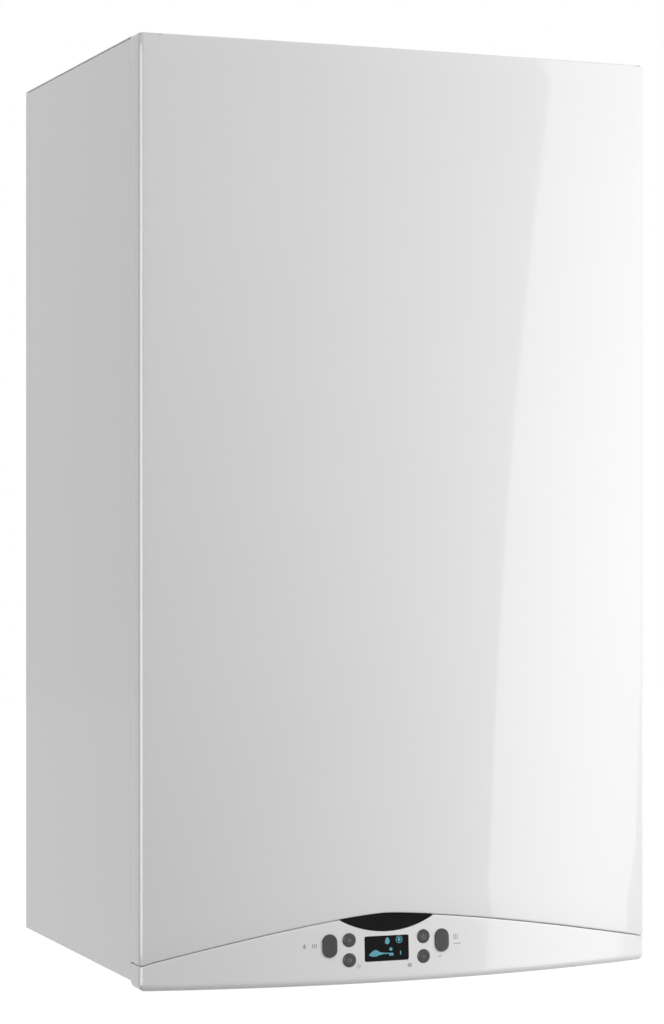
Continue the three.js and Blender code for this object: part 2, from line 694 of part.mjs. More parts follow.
// The bowed cover: one sheet with side, top and lower returns and a hem behind them.
function frontCover() {
  const foldedFoot = (x) => coverFoot(x) + SHEET;
  const upright = count(COVER_ROWS, (row) => {
    const share = (row + 1) / COVER_ROWS;
    const height = (x) => coverFoot(x) + (CASE_H - coverFoot(x)) * share;
    return [height, 0, height, SHEET];
  });
  const folded = [coverFoot, LOWER_RETURN_D, foldedFoot, LOWER_RETURN_D];
  const wall = frontShell([folded, [coverFoot, 0, foldedFoot, SHEET], ...upright], COVER_BACK_Y);
  const topReturn = prismZ(frontPlan(CASE_H, SHEET / 2, COVER_BACK_Y), CASE_H - SHEET, CASE_H);
  const hemFoot = SEAM_END_H + SEAM_GAP / 2;
  const hemY = COVER_BACK_Y - SHEET;
  const hem = [
    box(-HALF_W + SHEET / 2, -HALF_W + HEM_W, hemY, COVER_BACK_Y, hemFoot, CASE_H - SHEET / 2),
    box(HALF_W - HEM_W, HALF_W - SHEET / 2, hemY, COVER_BACK_Y, hemFoot, CASE_H - SHEET / 2),
    box(-HALF_W + SHEET, HALF_W - SHEET, hemY, COVER_BACK_Y, CASE_H - HEM_W, CASE_H - SHEET / 2),
  ];
  const reliefX = HALF_W - CORNER_R - RELIEF_L / 2;
  const relief = (x) => {
    const y = frontY(x, CASE_H);
    return box(x - RELIEF_L / 2, x + RELIEF_L / 2, y - 1, y + 2 * SHEET, CASE_H - RELIEF_H, CASE_H + 1);
  };
  return cut(join(wall, topReturn, hem), relief(-reliefX), relief(reliefX));
}

function coverSeal() {
  const y0 = PANEL_FRONT_Y + FIT;
  const y1 = LIP_Y - FIT;
  const outer = 2 * SHEET + FIT;
  const inner = LIP_W - FIT;
  const foot = 2 * SEAM_END_H;
  const upright = (x0, x1) => box(x0, x1, y0, y1, foot, CASE_H - outer);
  return join(
    upright(-HALF_W + outer, -HALF_W + inner),
    upright(HALF_W - inner, HALF_W - outer),
    box(-HALF_W + outer, HALF_W - outer, y0, y1, CASE_H - inner, CASE_H - outer),
  );
}

// ---------------------------------------------------------------------------------------------------------------
// Control unit
// ---------------------------------------------------------------------------------------------------------------

const FRONT_REACH = 12; // how far cutters run ahead of and behind the front
const aroundFront = (shape, segments) =>
  prismY(shape, -(CASE_D + BOW_BOTTOM + FRONT_REACH), -(CASE_D - FRONT_REACH), segments);

// A segment of a circle that hangs from the arch, wide enough to be cut off by the joint line.
function badgeShape(margin) {
  const half = BADGE_W / 2 + margin;
  const top = seamZ(CONTROLS_X + BADGE_W / 2);
  const drop = BADGE_DROP + margin;
  const radius = (half ** 2 + drop ** 2) / (2 * drop);
  const spread = Math.asin(half / radius);
  const arc = count(13, (i) => {
    const angle = spread * (i / 6 - 1);
    return [CONTROLS_X + radius * Math.sin(angle), top - drop + radius * (1 - Math.cos(angle))];
  });
  const peak = top + SEAM_RISE;
  return outline([...arc, [CONTROLS_X + half, peak], [CONTROLS_X - half, peak]]);
}

const rockerShape = (side, margin) => {
  const width = ROCKER_W + 2 * margin;
  const height = ROCKER_H + 2 * margin;
  return roundedRectangle(CONTROLS_X + side * ROCKER_X, ROCKER_Z, width, height, width / 2 - 0.01);
};
const displayShape = (margin) => {
  const width = DISPLAY_W + 2 * margin;
  return roundedRectangle(CONTROLS_X, DISPLAY_Z, width, DISPLAY_H + 2 * margin, DISPLAY_R);
};
const BUTTON_PLACES = [-1, 1].flatMap((side) =>
  BUTTON_ZS.map((z) => ({ x: CONTROLS_X + side * BUTTON_X, z })),
);

// Heights of the fascia's rows, from its rounded lower edge up to the joint.
const EDGE_STEPS = 3;
const WALL_ROWS = 3;
const wallHeights = count(WALL_ROWS + 1, (row) => (x) => {
  const top = fasciaTop(x);
  return FASCIA_EDGE_R + (top - FASCIA_EDGE_R) * (row / WALL_ROWS);
});
const fasciaSlab = (outer, inner) =>
  frontShell(
    wallHeights.map((height) => [height, outer, height, inner]),
    FASCIA_BACK_Y,
  );

const KEYPAD_HALF_W = ROCKER_X + ROCKER_W / 2 + KEYPAD_MARGIN;
const BOARD_HALF_W = KEYPAD_HALF_W + BOARD_MARGIN;
const BOARD_Z = DISPLAY_Z - 1.5;
const innerWallY = Math.max(
  ...[-1, 1].map((side) => frontY(CONTROLS_X + side * BOARD_HALF_W, BOARD_Z + BOARD_H / 2) + FASCIA_T),
);
const KEYPAD_Y = innerWallY + BUTTON_TRAVEL + PANEL_GAP; // front face of the keypad
const BOARD_Y = KEYPAD_Y + KEYPAD_T + FIT; // front face of the display board

// The moulded fascia: bowed wall with a rounded lower edge, floor tray, ledge under the joint and inner supports.
function controlFascia() {
  const onFloor = [() => 0, FASCIA_EDGE_R + 1, () => FASCIA_T, FASCIA_EDGE_R + 1];
  const rounded = count(EDGE_STEPS + 1, (i) => {
    const angle = (i / EDGE_STEPS) * (Math.PI / 2);
    const point = (radius) => [
      () => FASCIA_EDGE_R - radius * Math.cos(angle),
      FASCIA_EDGE_R - radius * Math.sin(angle),
    ];
    return [...point(FASCIA_EDGE_R), ...point(FASCIA_EDGE_R - FASCIA_T)];
  });
  const upright = wallHeights.slice(1, -1).map((height) => [height, 0, height, FASCIA_T]);
  const underLedge = (x) => fasciaTop(x) - FASCIA_LEDGE_T;
  const ledgeInset = FASCIA_T + FASCIA_LEDGE_D;
  const ledge = [
    [fasciaTop, 0, underLedge, FASCIA_T],
    [fasciaTop, ledgeInset, underLedge, ledgeInset],
  ];
  const wall = frontShell([onFloor, ...rounded, ...upright, ...ledge], FASCIA_BACK_Y);
  const openings = [
    aroundFront(badgeShape(BADGE_FIT), 1),
    aroundFront(displayShape(0), 1),
    ...[-1, 1].map((side) => aroundFront(rockerShape(side, ROCKER_FIT), 2)),
    ...BUTTON_PLACES.map(({ x, z }) => aroundFront(circle(x, z, BUTTON_D / 2 + BUTTON_FIT), 7)),
  ];
  const floorPlan = frontPlan(0, FASCIA_EDGE_R + 0.5, FASCIA_BACK_Y);
  const floorBackY = BOX_BACK_Y - FLOOR_SETBACK;
  const floor = [
    prismZ(floorPlan, 0, FASCIA_T),
    box(-FLOOR_HALF_W, FLOOR_HALF_W, FASCIA_BACK_Y - FIT, floorBackY, 0, FASCIA_T),
  ];
  const supports = [-0.75, -0.25, 0.25, 0.75].map((share) => {
    const x = share * BOX_HALF_W;
    return box(x - 1, x + 1, BOX_FRONT_Y, floorBackY, FASCIA_T / 2, BOX_Z - FIT);
  });
  const posts = [-1, 1].flatMap((side) =>
    [-1, 1].map((up) => {
      const x = CONTROLS_X + side * (BOARD_HALF_W - 4);
      const z = BOARD_Z + up * (BOARD_H / 2 - 4);
      return rodY(2.5, frontY(x, z) + FASCIA_T / 2, BOARD_Y - FIT, x, z, 8);
    }),
  );
  return join(cut(wall, openings), floor, supports, posts);
}

function badgeInsert() {
  return fasciaSlab(0, BADGE_T).intersect(aroundFront(badgeShape(0), 1));
}

// The display window sits in its opening and is held by a rim behind the wall.
function displayWindow() {
  const pane = fasciaSlab(FIT, FASCIA_T + 2 * FIT).intersect(aroundFront(displayShape(-FIT), 1));
  const rimInset = FASCIA_T + FIT;
  const rimShape = aroundFront(displayShape(WINDOW_RIM), 1);
  const rim = fasciaSlab(rimInset, rimInset + WINDOW_T / 2).intersect(rimShape);
  return join(pane, rim);
}

function displayBoard() {
  const board = box(
    CONTROLS_X - BOARD_HALF_W,
    CONTROLS_X + BOARD_HALF_W,
    BOARD_Y,
    BOARD_Y + BOARD_T,
    BOARD_Z - BOARD_H / 2,
    BOARD_Z + BOARD_H / 2,
  );
  const rimReach = DISPLAY_W / 2 + WINDOW_RIM;
  const rimTop = DISPLAY_Z + DISPLAY_H / 2 + WINDOW_RIM;
  const rimY = [-1, 1].map((side) => frontY(CONTROLS_X + side * rimReach, rimTop));
  const glassY = Math.max(...rimY) + FASCIA_T + WINDOW_T / 2 + 3 * FIT;
  const halfW = DISPLAY_W / 2 - 1.5;
  const halfH = DISPLAY_H / 2 - 1.5;
  const glass = box(
    CONTROLS_X - halfW,
    CONTROLS_X + halfW,
    glassY,
    BOARD_Y + BOARD_T / 2,
    DISPLAY_Z - halfH,
    DISPLAY_Z + halfH,
  );
  const connector = box(
    CONTROLS_X - 14,
    CONTROLS_X + 14,
    BOARD_Y + BOARD_T / 2,
    BOARD_Y + BOARD_T + 7,
    BOARD_Z - 10,
    BOARD_Z - 3,
  );
  return join(board, glass, connector);
}

function keypad() {
  const mat = roundedRectangle(CONTROLS_X, BOARD_Z, 2 * KEYPAD_HALF_W, BOARD_H - 4, 4);
  const opening = displayShape(FIT);
  const sheet = prismY(mat, KEYPAD_Y, KEYPAD_Y + KEYPAD_T, 4);
  return cut(sheet, aroundFront(opening, 1).translate([0, FRONT_REACH, 0]));
}

// A round key: domed face, body through the fascia, retaining rim behind it, and a stem towards the keypad.
// Its own origin is at the middle of its face.
function roundButton(x, z) {
  const faceY = frontY(x, z) - BUTTON_PROUD;
  const rimY = frontY(x, z) + FASCIA_T + 2 * FIT;
  const r = BUTTON_D / 2;
  const stemEnd = KEYPAD_Y - BUTTON_TRAVEL - FIT - faceY;
  const profile = [
    [0, 0],
    [r - 1, 0.3],
    [r, 1.1],
    [r, rimY - faceY],
    [r + 1.2, rimY - faceY],
    [r + 1.2, rimY - faceY + 0.9],
    [r - 2, rimY - faceY + 0.9],
    [r - 2, stemEnd],
    [0, stemEnd],
  ];
  return { solid: turned(profile, 14), place: [x, faceY, z] };
}

function rockerButton(side) {
  return fasciaSlab(-ROCKER_PROUD, FASCIA_T + 1).intersect(aroundFront(rockerShape(side, 0), 2));
}

// The electronics box: an open moulded tray with board posts, a cable opening and two hinge ears.
function controlBox() {
  const top = BOX_Z + BOX_H;
  const outer = box(-BOX_HALF_W, BOX_HALF_W, BOX_FRONT_Y, BOX_BACK_Y, BOX_Z, top);
  const inner = box(
    -BOX_HALF_W + BOX_T,
    BOX_HALF_W - BOX_T,
    BOX_FRONT_Y + BOX_T,
    BOX_BACK_Y - BOX_T,
    BOX_Z + BOX_T,
    top + 1,
  );
  const ribY = BOX_FRONT_Y + BOX_T / 2;
  const rib = (x) => box(x - 1, x + 1, ribY, BOX_FRONT_Y + 3 * BOX_T, BOX_Z, top - LID_SKIRT - 1);
  const posts = boardPosts((x, y) => rodZ(3.5, BOX_Z + BOX_T / 2, BOX_Z + BOX_T + BOARD_POST_H, x, y, 10));
  const ear = (side) => {
    const x0 = side < 0 ? -BOX_HALF_W : BOX_HALF_W - EAR_T;
    const lobe = join(
      rodX(EAR_R, x0, x0 + EAR_T, HINGE_Y, HINGE_Z, 14),
      box(x0, x0 + EAR_T, BOX_BACK_Y - BOX_T, HINGE_Y, HINGE_Z - EAR_R, HINGE_Z + EAR_R),
    );
    return cut(lobe, rodX(PIN_R + FIT, x0 - 1, x0 + EAR_T + 1, HINGE_Y, HINGE_Z));
  };
  const opening = prismY(
    roundedRectangle(0, GROMMET_Z, GROMMET_W, GROMMET_H, GROMMET_H / 3),
    BOX_BACK_Y - 2 * BOX_T,
    BOX_BACK_Y + 1,
  );
  const ribs = [-0.6, -0.2, 0.2, 0.6].map((share) => rib(share * BOX_HALF_W));
  return cut(join(cut(outer, inner), ribs, posts, ear(-1), ear(1)), opening);
}

const GROMMET_Z = BOX_Z + BOX_H * 0.6;
const MAIN_BOARD_HALF_W = BOX_HALF_W - 38;
const MAIN_BOARD_Y = (BOX_FRONT_Y + BOX_BACK_Y) / 2;
const MAIN_BOARD_HALF_D = BOX_L / 2 - 15;
const boardPosts = (make) =>
  [-1, 1].flatMap((side) =>
    [-1, 1].map((deep) => make(side * (MAIN_BOARD_HALF_W - 6), MAIN_BOARD_Y + deep * (MAIN_BOARD_HALF_D - 6))),
  );

function controlBoxLid() {
  const top = BOX_Z + BOX_H;
  const plate = box(-BOX_HALF_W, BOX_HALF_W, BOX_FRONT_Y, BOX_BACK_Y, top + FIT, top + FIT + LID_T);
  const skirtGap = BOX_T + FIT;
  const skirt = cut(
    box(
      -BOX_HALF_W + skirtGap,
      BOX_HALF_W - skirtGap,
      BOX_FRONT_Y + skirtGap,
      BOX_BACK_Y - skirtGap,
      top - LID_SKIRT,
      top + FIT + LID_T / 2,
    ),
    box(
      -BOX_HALF_W + 2 * skirtGap,
      BOX_HALF_W - 2 * skirtGap,
      BOX_FRONT_Y + 2 * skirtGap,
      BOX_BACK_Y - 2 * skirtGap,
      top - LID_SKIRT - 1,
      top + FIT + LID_T / 2,
    ),
  );
  const vents = count(7, (i) => {
    const x = BOX_HALF_W * (0.3 + 0.09 * i);
    return box(x - 2, x + 2, MAIN_BOARD_Y - 24, MAIN_BOARD_Y + 24, top, top + FIT + LID_T + 1);
  });
  return cut(join(plate, skirt), vents);
}

// The main board: relays, capacitors, a transformer and a row of connectors on one plate.
function mainCircuitBoard() {
  const z0 = BOX_Z + BOX_T + BOARD_POST_H + FIT;
  const z1 = z0 + BOARD_T;
  const back = MAIN_BOARD_Y + MAIN_BOARD_HALF_D;
  const front = MAIN_BOARD_Y - MAIN_BOARD_HALF_D;
  const left = -MAIN_BOARD_HALF_W;
  const plate = box(left, MAIN_BOARD_HALF_W, front, back, z0, z1);
  const seat = z1 - BOARD_T / 2;
  const mounted = (x, y, width, depth, height) => box(x, x + width, y, y + depth, seat, z1 + height);
  const y = front + COMPONENT_GAP;
  const transformer = mounted(left + COMPONENT_GAP, y, TRANSFORMER_W, TRANSFORMER_D, TRANSFORMER_H);
  const relayX = left + TRANSFORMER_W + 3 * COMPONENT_GAP;
  const relays = count(RELAY_COUNT, (i) =>
    mounted(relayX + i * (RELAY_W + COMPONENT_GAP), y, RELAY_W, RELAY_D, RELAY_H),
  );
  const capacitorX = relayX + RELAY_COUNT * (RELAY_W + COMPONENT_GAP) + 2 * COMPONENT_GAP;
  const capacitorPitch = 2 * CAPACITOR_R + COMPONENT_GAP;
  const capacitors = count(CAPACITOR_COUNT, (i) =>
    rodZ(CAPACITOR_R, seat, z1 + CAPACITOR_H, capacitorX + i * capacitorPitch, y + RELAY_D / 2, 12),
  );
  const connectorX = left + TRANSFORMER_W + COMPONENT_GAP;
  const connectorY = back - CONNECTOR_D - COMPONENT_GAP / 2;
  const connectorPitch = CONNECTOR_W + COMPONENT_GAP;
  const connectors = count(CONNECTOR_COUNT, (i) =>
    mounted(connectorX + i * connectorPitch, connectorY, CONNECTOR_W, CONNECTOR_D, CONNECTOR_H),
  );
  return join(plate, transformer, relays, capacitors, connectors);
}

function cableGrommet() {
  const layer = (grow, y0, y1) => {
    const height = GROMMET_H + 2 * grow;
    return prismY(roundedRectangle(0, GROMMET_Z, GROMMET_W + 2 * grow, height, height / 3), y0, y1);
  };
  const inside = BOX_BACK_Y - BOX_T;
  const innerY = inside - FIT - GROMMET_LIP_T;
  const outerY = BOX_BACK_Y + FIT + GROMMET_LIP_T;
  const plug = layer(-FIT, innerY, outerY);
  const rims = [layer(GROMMET_LIP_W, innerY, inside - FIT), layer(GROMMET_LIP_W, BOX_BACK_Y + FIT, outerY)];
  const pitch = GROMMET_W / (CABLE_COUNT + 0.5);
  const bores = count(CABLE_COUNT, (i) => {
    const x = (i - (CABLE_COUNT - 1) / 2) * pitch;
    return rodY(CABLE_R, innerY - 1, outerY + 1, x, GROMMET_Z, 10);
  });
  return cut(join(plug, rims), bores);
}

// A bracket screwed to the rail's side flange that reaches forward to the hinge pin.
function hingeBracket(side) {
  const railReach = RAIL_FRONT_Y + HINGE_PLATE_LAP;
  const shape = outline([
    [HINGE_Y - EAR_R, HINGE_Z - 2],
    [HINGE_Y - EAR_R + 3, HINGE_Z - EAR_R],
    [HINGE_Y + EAR_R, HINGE_Z - EAR_R],
    [RAIL_FRONT_Y, RAIL_Z + RAIL_T + 2],
    [railReach, RAIL_Z + RAIL_T + 2],
    [railReach, RAIL_Z + RAIL_FLANGE_H - 4],
    [RAIL_FRONT_Y, RAIL_Z + RAIL_FLANGE_H - 4],
    [HINGE_Y - EAR_R, HINGE_Z + EAR_R],
  ]);
  const x0 = side < 0 ? -HINGE_PLATE_X : HINGE_PLATE_X - HINGE_PLATE_T;
  const plate = prismX(shape, x0, x0 + HINGE_PLATE_T);
  return cut(plate, rodX(PIN_R + FIT, x0 - 1, x0 + HINGE_PLATE_T + 1, HINGE_Y, HINGE_Z));
}

// A shouldered pin, turned about its own Z axis with the head at the top.
function hingePin() {
  const length = HINGE_PLATE_X - (BOX_HALF_W - EAR_T) + FIT;
  const profile = [
    [0, 0],
    [PIN_R - 0.6, 0],
    [PIN_R, 0.6],
    [PIN_R, length],
    [PIN_HEAD_R, length],
    [PIN_HEAD_R, length + PIN_HEAD_T - 0.6],
    [PIN_HEAD_R - 0.6, length + PIN_HEAD_T],
    [0, length + PIN_HEAD_T],
  ];
  return turnedZ(profile, 0, 0, 14);
}

// ---------------------------------------------------------------------------------------------------------------
// Connection rail and hydraulic group
// ---------------------------------------------------------------------------------------------------------------

function connectionRail() {
  const top = RAIL_Z + RAIL_FLANGE_H;
  const floor = box(-RAIL_HALF_W, RAIL_HALF_W, RAIL_FRONT_Y, RAIL_BACK_Y, RAIL_Z, RAIL_Z + RAIL_T);
  const back = box(-RAIL_HALF_W, RAIL_HALF_W, RAIL_BACK_Y - RAIL_T, RAIL_BACK_Y, RAIL_Z, top);
  const side = (x0) => box(x0, x0 + RAIL_T, RAIL_FRONT_Y, RAIL_BACK_Y, RAIL_Z, top);
  const lip = box(
    -RAIL_HALF_W,
    RAIL_HALF_W,
    RAIL_FRONT_Y,
    RAIL_FRONT_Y + RAIL_T,
    RAIL_Z - RAIL_LIP_H,
    RAIL_Z + RAIL_T,
  );
  const hole = (x, radius) => rodZ(radius + FIT, RAIL_Z - 1, RAIL_Z + RAIL_T + 1, x, -PIPE_Y, 12);
  const holes = [-2, 0, 2].map((i) => hole(i * PIPE_PITCH, STUB_R_LARGE));
  const smallHoles = [-1, 1].map((i) => hole(i * PIPE_PITCH, STUB_R_SMALL));
  const body = join(floor, back, side(-RAIL_HALF_W), side(RAIL_HALF_W - RAIL_T), lip);
  return cut(body, holes, smallHoles, hole(TAP_X, TAP_STEM_R));
}

// A threaded stub below the rail, with its bore open downwards.
const stub = (x, radius, top) => rodZ(radius, -PIPE_DROP, top, x, -PIPE_Y, 12);
const stubBore = (x) => rodZ(STUB_BORE_R, -PIPE_DROP - 1, STUB_BORE_L - PIPE_DROP, x, -PIPE_Y, ROUND_SMALL);

// A cast manifold on one side: two upright barrels, two cross passages and two ports to the plate exchanger.
function manifold(side) {
  const outerX = side * OUTER_X;
  const innerX = side * PIPE_PITCH;
  const [left, right] = side < 0 ? [outerX, innerX] : [innerX, outerX];
  const barrel = (x) => [
    rodZ(BARREL_R, BARREL_Z, BARREL_TOP_Z - 8, x, -PIPE_Y, 14),
    rodZ(BARREL_R - 4, BARREL_TOP_Z - 9, BARREL_TOP_Z, x, -PIPE_Y, 14),
  ];
  const passages = PORT_ZS.map((z) => rodX(CROSS_R, left, right, -PIPE_Y, z));
  const ports = PORT_ZS.map((z) => rodY(PORT_R, PLATES_Y + FIT, -PIPE_Y, side * PORT_X, z));
  const stubs = [stub(outerX, STUB_R_LARGE, BARREL_Z + 2), stub(innerX, STUB_R_SMALL, BARREL_Z + 2)];
  return join(barrel(outerX), barrel(innerX), passages, ports, stubs);
}

function flowBlock() {
  return cut(manifold(-1), stubBore(-OUTER_X), stubBore(-PIPE_PITCH));
}

function returnBlock() {
  const safetyX = OUTER_X + SAFETY_REACH;
  const safety = rodX(PORT_R, OUTER_X, safetyX, -PIPE_Y, SAFETY_Z);
  const vesselPort = rodX(PORT_R, VESSEL_END_X, PIPE_PITCH, -PIPE_Y, VESSEL_END_Z);
  const tap = rodZ(TAP_STEM_R + 2, TAP_TOP_Z, PORT_ZS[0], TAP_X, -PIPE_Y);
  return cut(join(manifold(1), safety, vesselPort, tap), stubBore(OUTER_X), stubBore(PIPE_PITCH));
}

const SAFETY_Z = BARREL_Z + BARREL_H / 2;
const VESSEL_END_X = PIPE_PITCH - BARREL_R - 4;
const VESSEL_END_Z = BARREL_Z + BARREL_H / 2;
const TAP_TOP_Z = BARREL_Z + 4;

// Brazed plates: a stack whose sides show a groove between each pair of plates.
function plateExchanger() {
  const z0 = PORT_ZS[0] - PORT_R - PLATES_OVER;
  const z1 = PORT_ZS[1] + PORT_R + PLATES_OVER;
  const back = PLATES_Y - PLATES_GAP;
  const pitch = PLATES_D / PLATE_COUNT;
  const height = z1 - z0;
  const plates = count(PLATE_COUNT, (i) => {
    const y0 = back - (i + 1) * pitch;
    const shape = roundedRectangle(0, (z0 + z1) / 2, PLATES_W, height, 12);
    return prismY(shape, y0 + 0.8, y0 + pitch - 0.8, 1);
  });
  const inset = 2 * PLATE_GROOVE;
  const inner = roundedRectangle(0, (z0 + z1) / 2, PLATES_W - inset, height - inset, 10);
  const core = prismY(inner, back - PLATES_D + 1, back - 1, 1);
  const collars = [-1, 1].flatMap((side) =>
    PORT_ZS.map((z) => rodY(PORT_R + 2, back - PLATES_GAP, PLATES_Y, side * PORT_X, z)),
  );
  return join(core, plates, collars);
}

function circulationPump() {
  const y0 = -PIPE_Y + PUMP_VOLUTE_D / 2;
  const y1 = y0 - PUMP_VOLUTE_D;
  const y2 = y1 - PUMP_MOTOR_D;
  const profile = [
    [0, y0],
    [PUMP_R - 8, y0],
    [PUMP_R, y0 - 8],
    [PUMP_R, y1 + 8],
    [PUMP_MOTOR_R, y1],
    [PUMP_MOTOR_R, y2 + 6],
    [PUMP_MOTOR_R - 6, y2],
    [0, y2],
  ];
  const body = turnedY(profile, OUTER_X, PUMP_Z, 20);
  const inlet = rodZ(PUMP_NECK_R, BARREL_TOP_Z + FIT, PUMP_Z, OUTER_X, -PIPE_Y);
  const outlet = rodZ(PUMP_NECK_R, PUMP_Z, PUMP_TOP_Z, OUTER_X, -PIPE_Y);
  const boxHalf = PUMP_MOTOR_R * 0.55;
  const terminal = box(
    OUTER_X - boxHalf,
    OUTER_X + boxHalf,
    y2 + 10,
    y2 + 10 + PUMP_TERMINAL_D,
    PUMP_Z + PUMP_MOTOR_R * 0.6,
    PUMP_Z + PUMP_MOTOR_R + 9,
  );
  return join(body, inlet, outlet, terminal);
}

function airVent() {
  const z = BARREL_TOP_Z + FIT;
  const profile = [
    [0, z],
    [VENT_R - 4, z],
    [VENT_R - 4, z + 8],
    [VENT_R, z + 12],
    [VENT_R, z + VENT_H - 10],
    [VENT_R - 6, z + VENT_H - 6],
    [VENT_R - 8, z + VENT_H],
    [0, z + VENT_H],
  ];
  return turnedZ(profile, PIPE_PITCH, -PIPE_Y, 14);
}

function diverterMotor() {
  const z = BARREL_TOP_Z + FIT;
  const neck = rodZ(11, z, z + 12, -OUTER_X, -PIPE_Y);
  const body = roundedRectangle(-OUTER_X, -PIPE_Y, DIVERTER_W, DIVERTER_W, 9);
  const crown = roundedRectangle(-OUTER_X, -PIPE_Y, DIVERTER_W - 8, DIVERTER_W - 8, 6);
  const plug = box(
    -OUTER_X - 9,
    -OUTER_X + 9,
    -PIPE_Y - DIVERTER_W / 2 - 8,
    -PIPE_Y,
    z + DIVERTER_H / 2,
    z + DIVERTER_H / 2 + 14,
  );
  const lower = prismZ(body, z + 10, z + DIVERTER_H - 5, 4);
  const upper = prismZ(crown, z + 20, z + DIVERTER_H, 4);
  return join(neck, lower, upper, plug);
}

// A hand knob with grip notches, turned about its own Z axis, with an optional stem below its face.
function notchedKnob(radius, length, stemRadius, stemLength) {
  const grip = turnedZ(
    [
      [0, 0],
      [radius - 1.5, 0],
      [radius, 1.5],
      [radius, length - 1.5],
      [radius - 1.5, length],
      [0, length],
    ],
    0,
    0,
    16,
  );
  const notches = count(KNOB_NOTCHES, (i) => {
    const angle = (2 * Math.PI * i) / KNOB_NOTCHES;
    const reach = radius * 1.08;
    return rodZ(radius * 0.2, 3, length + 1, reach * Math.cos(angle), reach * Math.sin(angle), 6);
  });
  const knob = cut(grip, notches);
  return stemLength ? join(knob, rodZ(stemRadius, -stemLength, 1, 0, 0)) : knob;
}

const FLOW_SIDE_X = WATER_NECK_X + 33;
const FLOW_CROSS_Z = PUMP_TOP_Z + 35;

function flowPipe() {
  const z = EXCHANGER_Z + WATER_NECK_DROP;
  return pipe(
    [
      [-WATER_NECK_X - FIT, SHELL_MID_Y, z],
      [-FLOW_SIDE_X, SHELL_MID_Y, z],
      [-FLOW_SIDE_X, SHELL_MID_Y, FLOW_CROSS_Z],
      [-PIPE_PITCH, -PIPE_Y, FLOW_CROSS_Z],
      [-PIPE_PITCH, -PIPE_Y, BARREL_TOP_Z + FIT],
    ],
    COPPER_R,
    COPPER_BEND,
  );
}

function returnPipe() {
  const z = EXCHANGER_Z - WATER_NECK_DROP;
  return pipe(
    [
      [OUTER_X, -PIPE_Y, PUMP_TOP_Z + FIT],
      [OUTER_X, -PIPE_Y, FLOW_CROSS_Z],
      [FLOW_SIDE_X, SHELL_MID_Y, FLOW_CROSS_Z + 12],
      [FLOW_SIDE_X, SHELL_MID_Y, z],
      [WATER_NECK_X + FIT, SHELL_MID_Y, z],
    ],
    COPPER_R,
    COPPER_BEND,
  );
}

function vesselPipe() {
  return pipe(
    [
      [VESSEL_PORT_X, VESSEL_Y, VESSEL_PORT_Z - FIT],
      [VESSEL_PORT_X, VESSEL_Y, VESSEL_PORT_Z - VESSEL_PIPE_DROP],
      [VESSEL_PORT_X, -PIPE_Y, VESSEL_END_Z + VESSEL_PIPE_RISE],
      [VESSEL_PORT_X, -PIPE_Y, VESSEL_END_Z],
      [VESSEL_END_X - FIT, -PIPE_Y, VESSEL_END_Z],
    ],
    VESSEL_PIPE_R,
    COPPER_BEND / 2,
  );
}

const VESSEL_PORT_Z = VESSEL_Z - VESSEL_R - VESSEL_SEAM_W - 5;

// Two pressed half shells with a folded seam, and a water port at the bottom.
function expansionVessel() {
  const half = VESSEL_D / 2;
  const seam = VESSEL_SEAM_T / 2;
  const quarter = (sign) => [
    [0, sign * half],
    [VESSEL_R * 0.75, sign * half],
    [VESSEL_R * 0.96, sign * half * 0.75],
    [VESSEL_R, sign * seam],
    [VESSEL_R + VESSEL_SEAM_W, sign * seam],
  ];
  const profile = [...quarter(-1), ...quarter(1).reverse()];
  const body = turnedY(profile, 0, VESSEL_Z, ROUND).translate([0, VESSEL_Y, 0]);
  const port = rodZ(VESSEL_PIPE_R + 3, VESSEL_PORT_Z, VESSEL_PORT_Z + 30, VESSEL_PORT_X, VESSEL_Y);
  return join(body, port);
}

// A hat-shaped frame over the vessel, with lightening holes, that carries the exchanger.
function midFrame() {
  const feetY = BACK_PLATE_Y - FIT;
  const legOut = MID_LEG_X + MID_T;
  const footX = legOut + MID_FOOT_W;
  const right = [
    [MID_LEG_X, MID_BACK_Y],
    [MID_LEG_X, feetY],
    [footX, feetY],
    [footX, feetY - MID_T],
    [legOut, feetY - MID_T],
    [legOut, MID_FRONT_Y],
  ];
  const left = right.map(([x, y]) => [-x, y]).reverse();
  const hat = prismZ(outline([...right, ...left]), EXCHANGER_Z - MID_H / 2, EXCHANGER_Z + MID_H / 2);
  const holes = [-1, 1].flatMap((side) =>
    [-1, 1].map((up) => {
      const x = side * (EXCHANGER_R + MID_LEG_X) / 2;
      return rodY(15, MID_FRONT_Y - 1, MID_BACK_Y + 1, x, EXCHANGER_Z + (up * MID_H) / 4, 12);
    }),
  );
  return cut(hat, holes);
}

// ---------------------------------------------------------------------------------------------------------------
// Exchanger, burner, fan, air and gas
// ---------------------------------------------------------------------------------------------------------------

